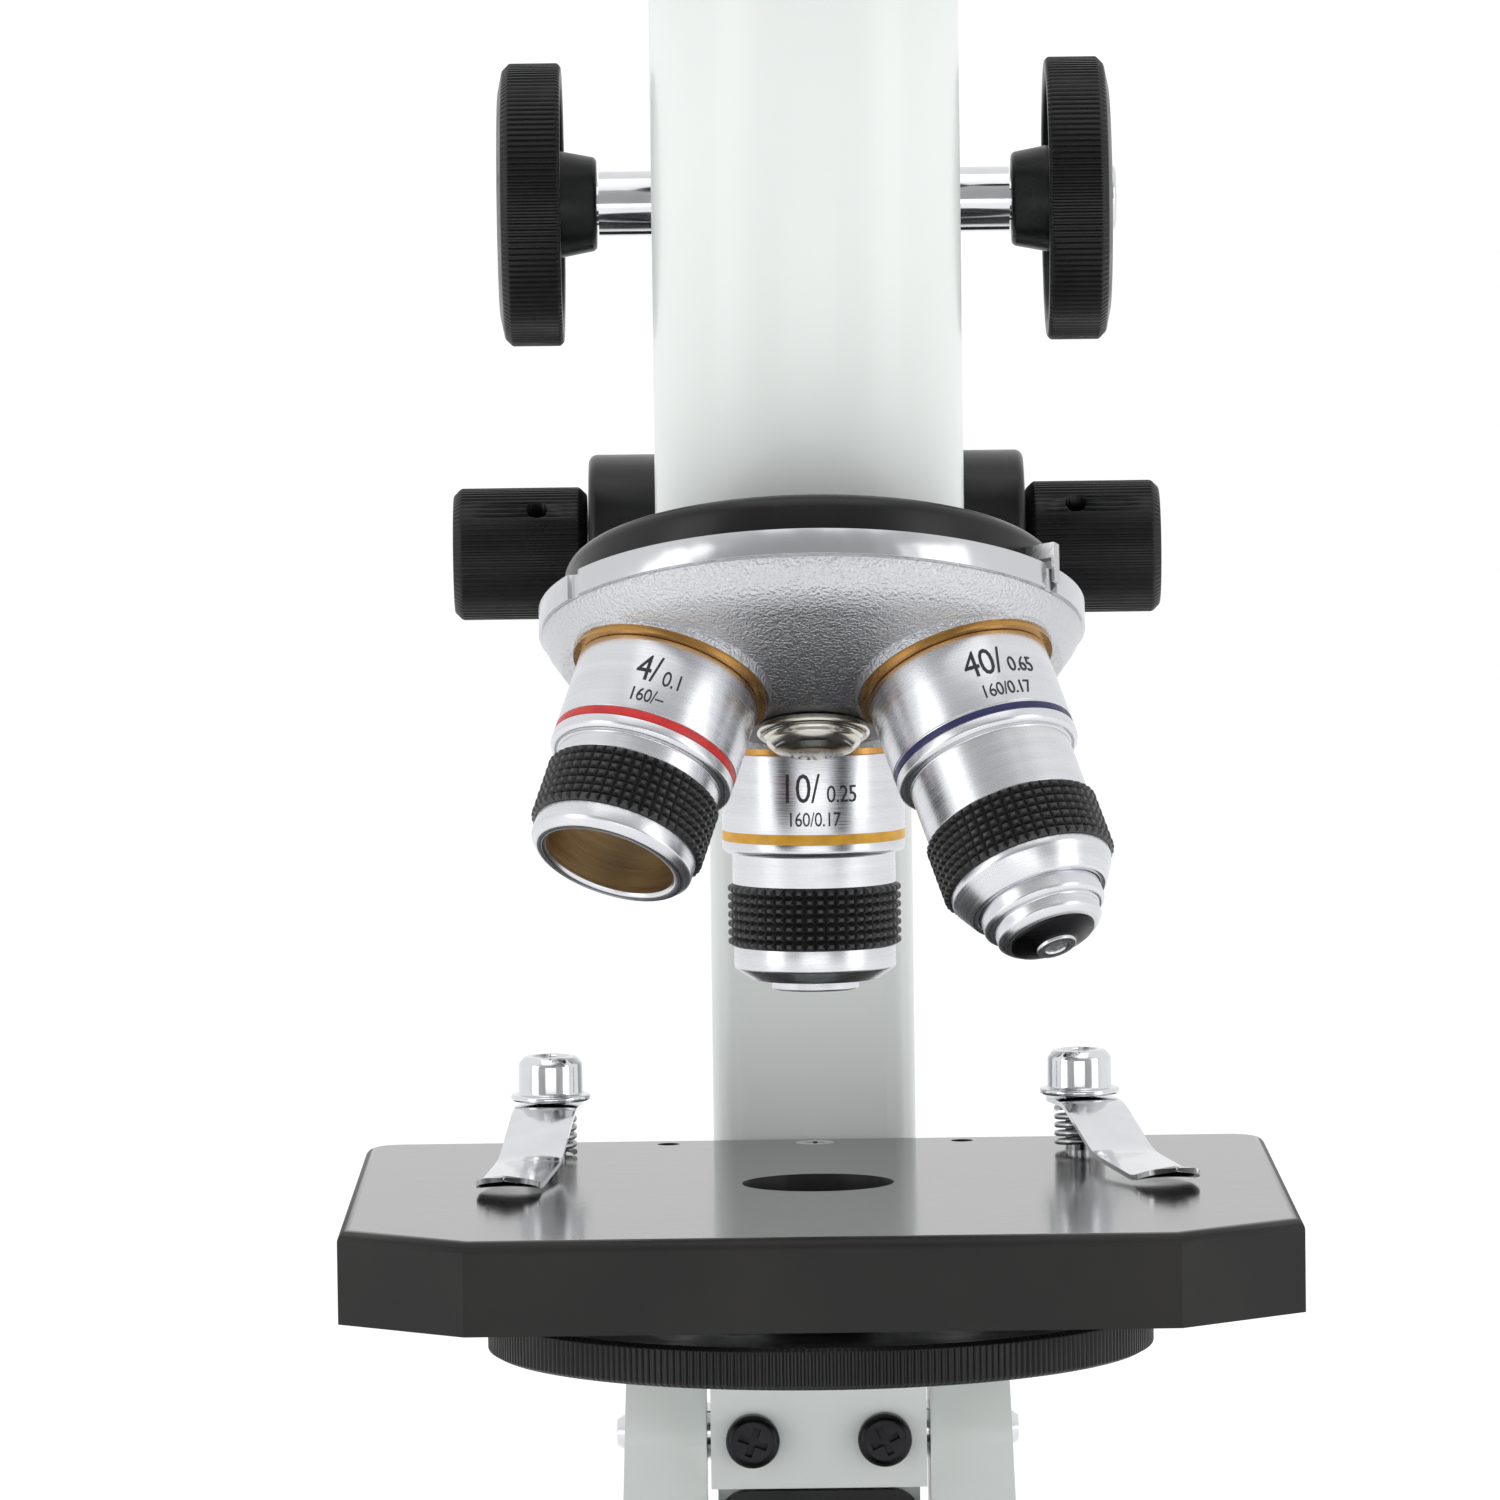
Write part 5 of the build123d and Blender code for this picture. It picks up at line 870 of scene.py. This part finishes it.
def feet():
    low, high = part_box("rubber_feet")
    reach = FOOT_REACH * MM
    outline = [(0, 0), (7.2, 0), (7.6, 0.5), (8.2, 0.5), (8.6, 0), (8.9, 0.6), (8.9, 2.2),
               (8.5, 2.5), (8.7, 2.8), (8.4, 4.2), (8.1, 4.5), (8.2, 6.0), (0, 6.0)]
    rows = (low.y + reach, high.y - reach)
    spots = [(x, y) for x in (low.x + reach, high.x - reach) for y in rows]
    for number, (x, y) in enumerate(spots, 1):
        turned("rubber_foot_%d" % number, "base", "rubber", outline, Matrix.Translation((x, y, 0)),
               ("rubber_feet",), segments=64, edge=0.3)


# ---------------------------------------------------------------- studio
FLOOR_HALF = 12.0           # metres
FLOOR_GLOW = 0.22
WORLD_FRONT = 0.45          # light from the camera's side and from behind the microscope
WORLD_BACK = 1.0
WORLD_SEEN = 1.05
AIM = (0, 0, 0.2)
SOFTBOXES = {               # place, width and height in metres, and power in watts
    "left_softbox": ((-0.95, -0.60, 0.40), 0.5, 0.9, 1.9),
    "right_softbox": ((0.95, -0.60, 0.40), 0.5, 0.9, 1.9),
    "front_softbox": ((0.0, -1.30, 0.15), 0.9, 0.25, 0.9),
    "top_softbox": ((0.0, -0.25, 1.25), 1.0, 1.0, 1.8),
}
CAMERA_PLACE = (-0.0082, -1.278, 0.2723)
CAMERA_LENS = 230.4         # mm
CAMERA_PITCH = 4.11         # degrees down
CAMERA_ROLL = 0.75


def paper_floor():
    floor = bpy.data.meshes.new("floor")
    half = FLOOR_HALF
    corners = [(-half, -half, 0), (half, -half, 0), (half, half, 0), (-half, half, 0)]
    floor.from_pydata(corners, [], [(0, 1, 2, 3)])
    glow = {"Emission Color": (1, 1, 1, 1), "Emission Strength": FLOOR_GLOW}
    paper = Finish("paper", (0.90, 0.90, 0.90), {"Roughness": 0.8, **glow})
    paper.mottle((0.88, 0.88, 0.88), 3)
    floor.materials.append(paper.material)
    ground = bpy.data.objects.new("floor", floor)
    bpy.context.scene.collection.objects.link(ground)


def surroundings():
    """White world, seen as plain white and dimmer where it lights the front."""
    world = bpy.data.worlds.new("studio")
    bpy.context.scene.world = world
    world.use_nodes = True
    nodes, links = world.node_tree.nodes, world.node_tree.links
    back = nodes["Background"]
    back.inputs["Color"].default_value = (1, 1, 1, 1)
    split = nodes.new("ShaderNodeSeparateXYZ")
    links.new(nodes.new("ShaderNodeTexCoord").outputs["Generated"], split.inputs["Vector"])
    ramp = nodes.new("ShaderNodeMapRange")
    ramp.interpolation_type = "SMOOTHSTEP"
    ramp.inputs["From Min"].default_value = -0.95
    ramp.inputs["From Max"].default_value = 0.0
    ramp.inputs["To Min"].default_value = WORLD_FRONT
    ramp.inputs["To Max"].default_value = WORLD_BACK
    links.new(split.outputs["Y"], ramp.inputs["Value"])
    choose = nodes.new("ShaderNodeMix")
    links.new(nodes.new("ShaderNodeLightPath").outputs["Is Camera Ray"], choose.inputs["Factor"])
    links.new(ramp.outputs["Result"], choose.inputs["A"])
    choose.inputs["B"].default_value = WORLD_SEEN
    links.new(choose.outputs["Result"], back.inputs["Strength"])


def softbox(name, place, width, height, power):
    light = bpy.data.lights.new(name, "AREA")
    light.shape = "RECTANGLE"
    light.size = width
    light.size_y = height
    light.energy = power
    lamp_object = bpy.data.objects.new(name, light)
    lamp_object.location = place
    aim = Vector(AIM) - Vector(place)
    lamp_object.rotation_euler = aim.to_track_quat("-Z", "Y").to_euler()
    lamp_object.visible_camera = False
    bpy.context.scene.collection.objects.link(lamp_object)


def camera():
    """Long lens in front, above the stage, pitched down and rolled by a fraction of a degree."""
    data = bpy.data.cameras.new("camera")
    data.sensor_width = 36.0
    data.lens = CAMERA_LENS
    data.clip_start = 0.05
    data.clip_end = 60.0
    eye = bpy.data.objects.new("camera", data)
    level = Matrix.Rotation(math.radians(90 - CAMERA_PITCH), 4, "X")
    roll = Matrix.Rotation(-math.radians(CAMERA_ROLL), 4, "Z")
    eye.matrix_world = Matrix.Translation(CAMERA_PLACE) @ level @ roll
    bpy.context.scene.collection.objects.link(eye)
    bpy.context.scene.camera = eye


dress_cad_nodes()
objective_4x()
objective_10x()
objective_40x()
nose_spring()
pivot_screw()
for knob_side, knob_name in ((-1, "left"), (1, "right")):
    coarse_knob(knob_name + "_coarse_knob", knob_side)
    fine_knob(knob_name + "_fine_knob", knob_side)
    clip_strip(knob_name + "_clip")
    clip_post(knob_name + "_clip")
thumb_screw()
disc_rim()
eyepiece()
lamp()
feet()
paper_floor()
surroundings()
for softbox_name, softbox_facts in SOFTBOXES.items():
    softbox(softbox_name, *softbox_facts)
camera()
bpy.context.scene.view_settings.view_transform = "Standard"
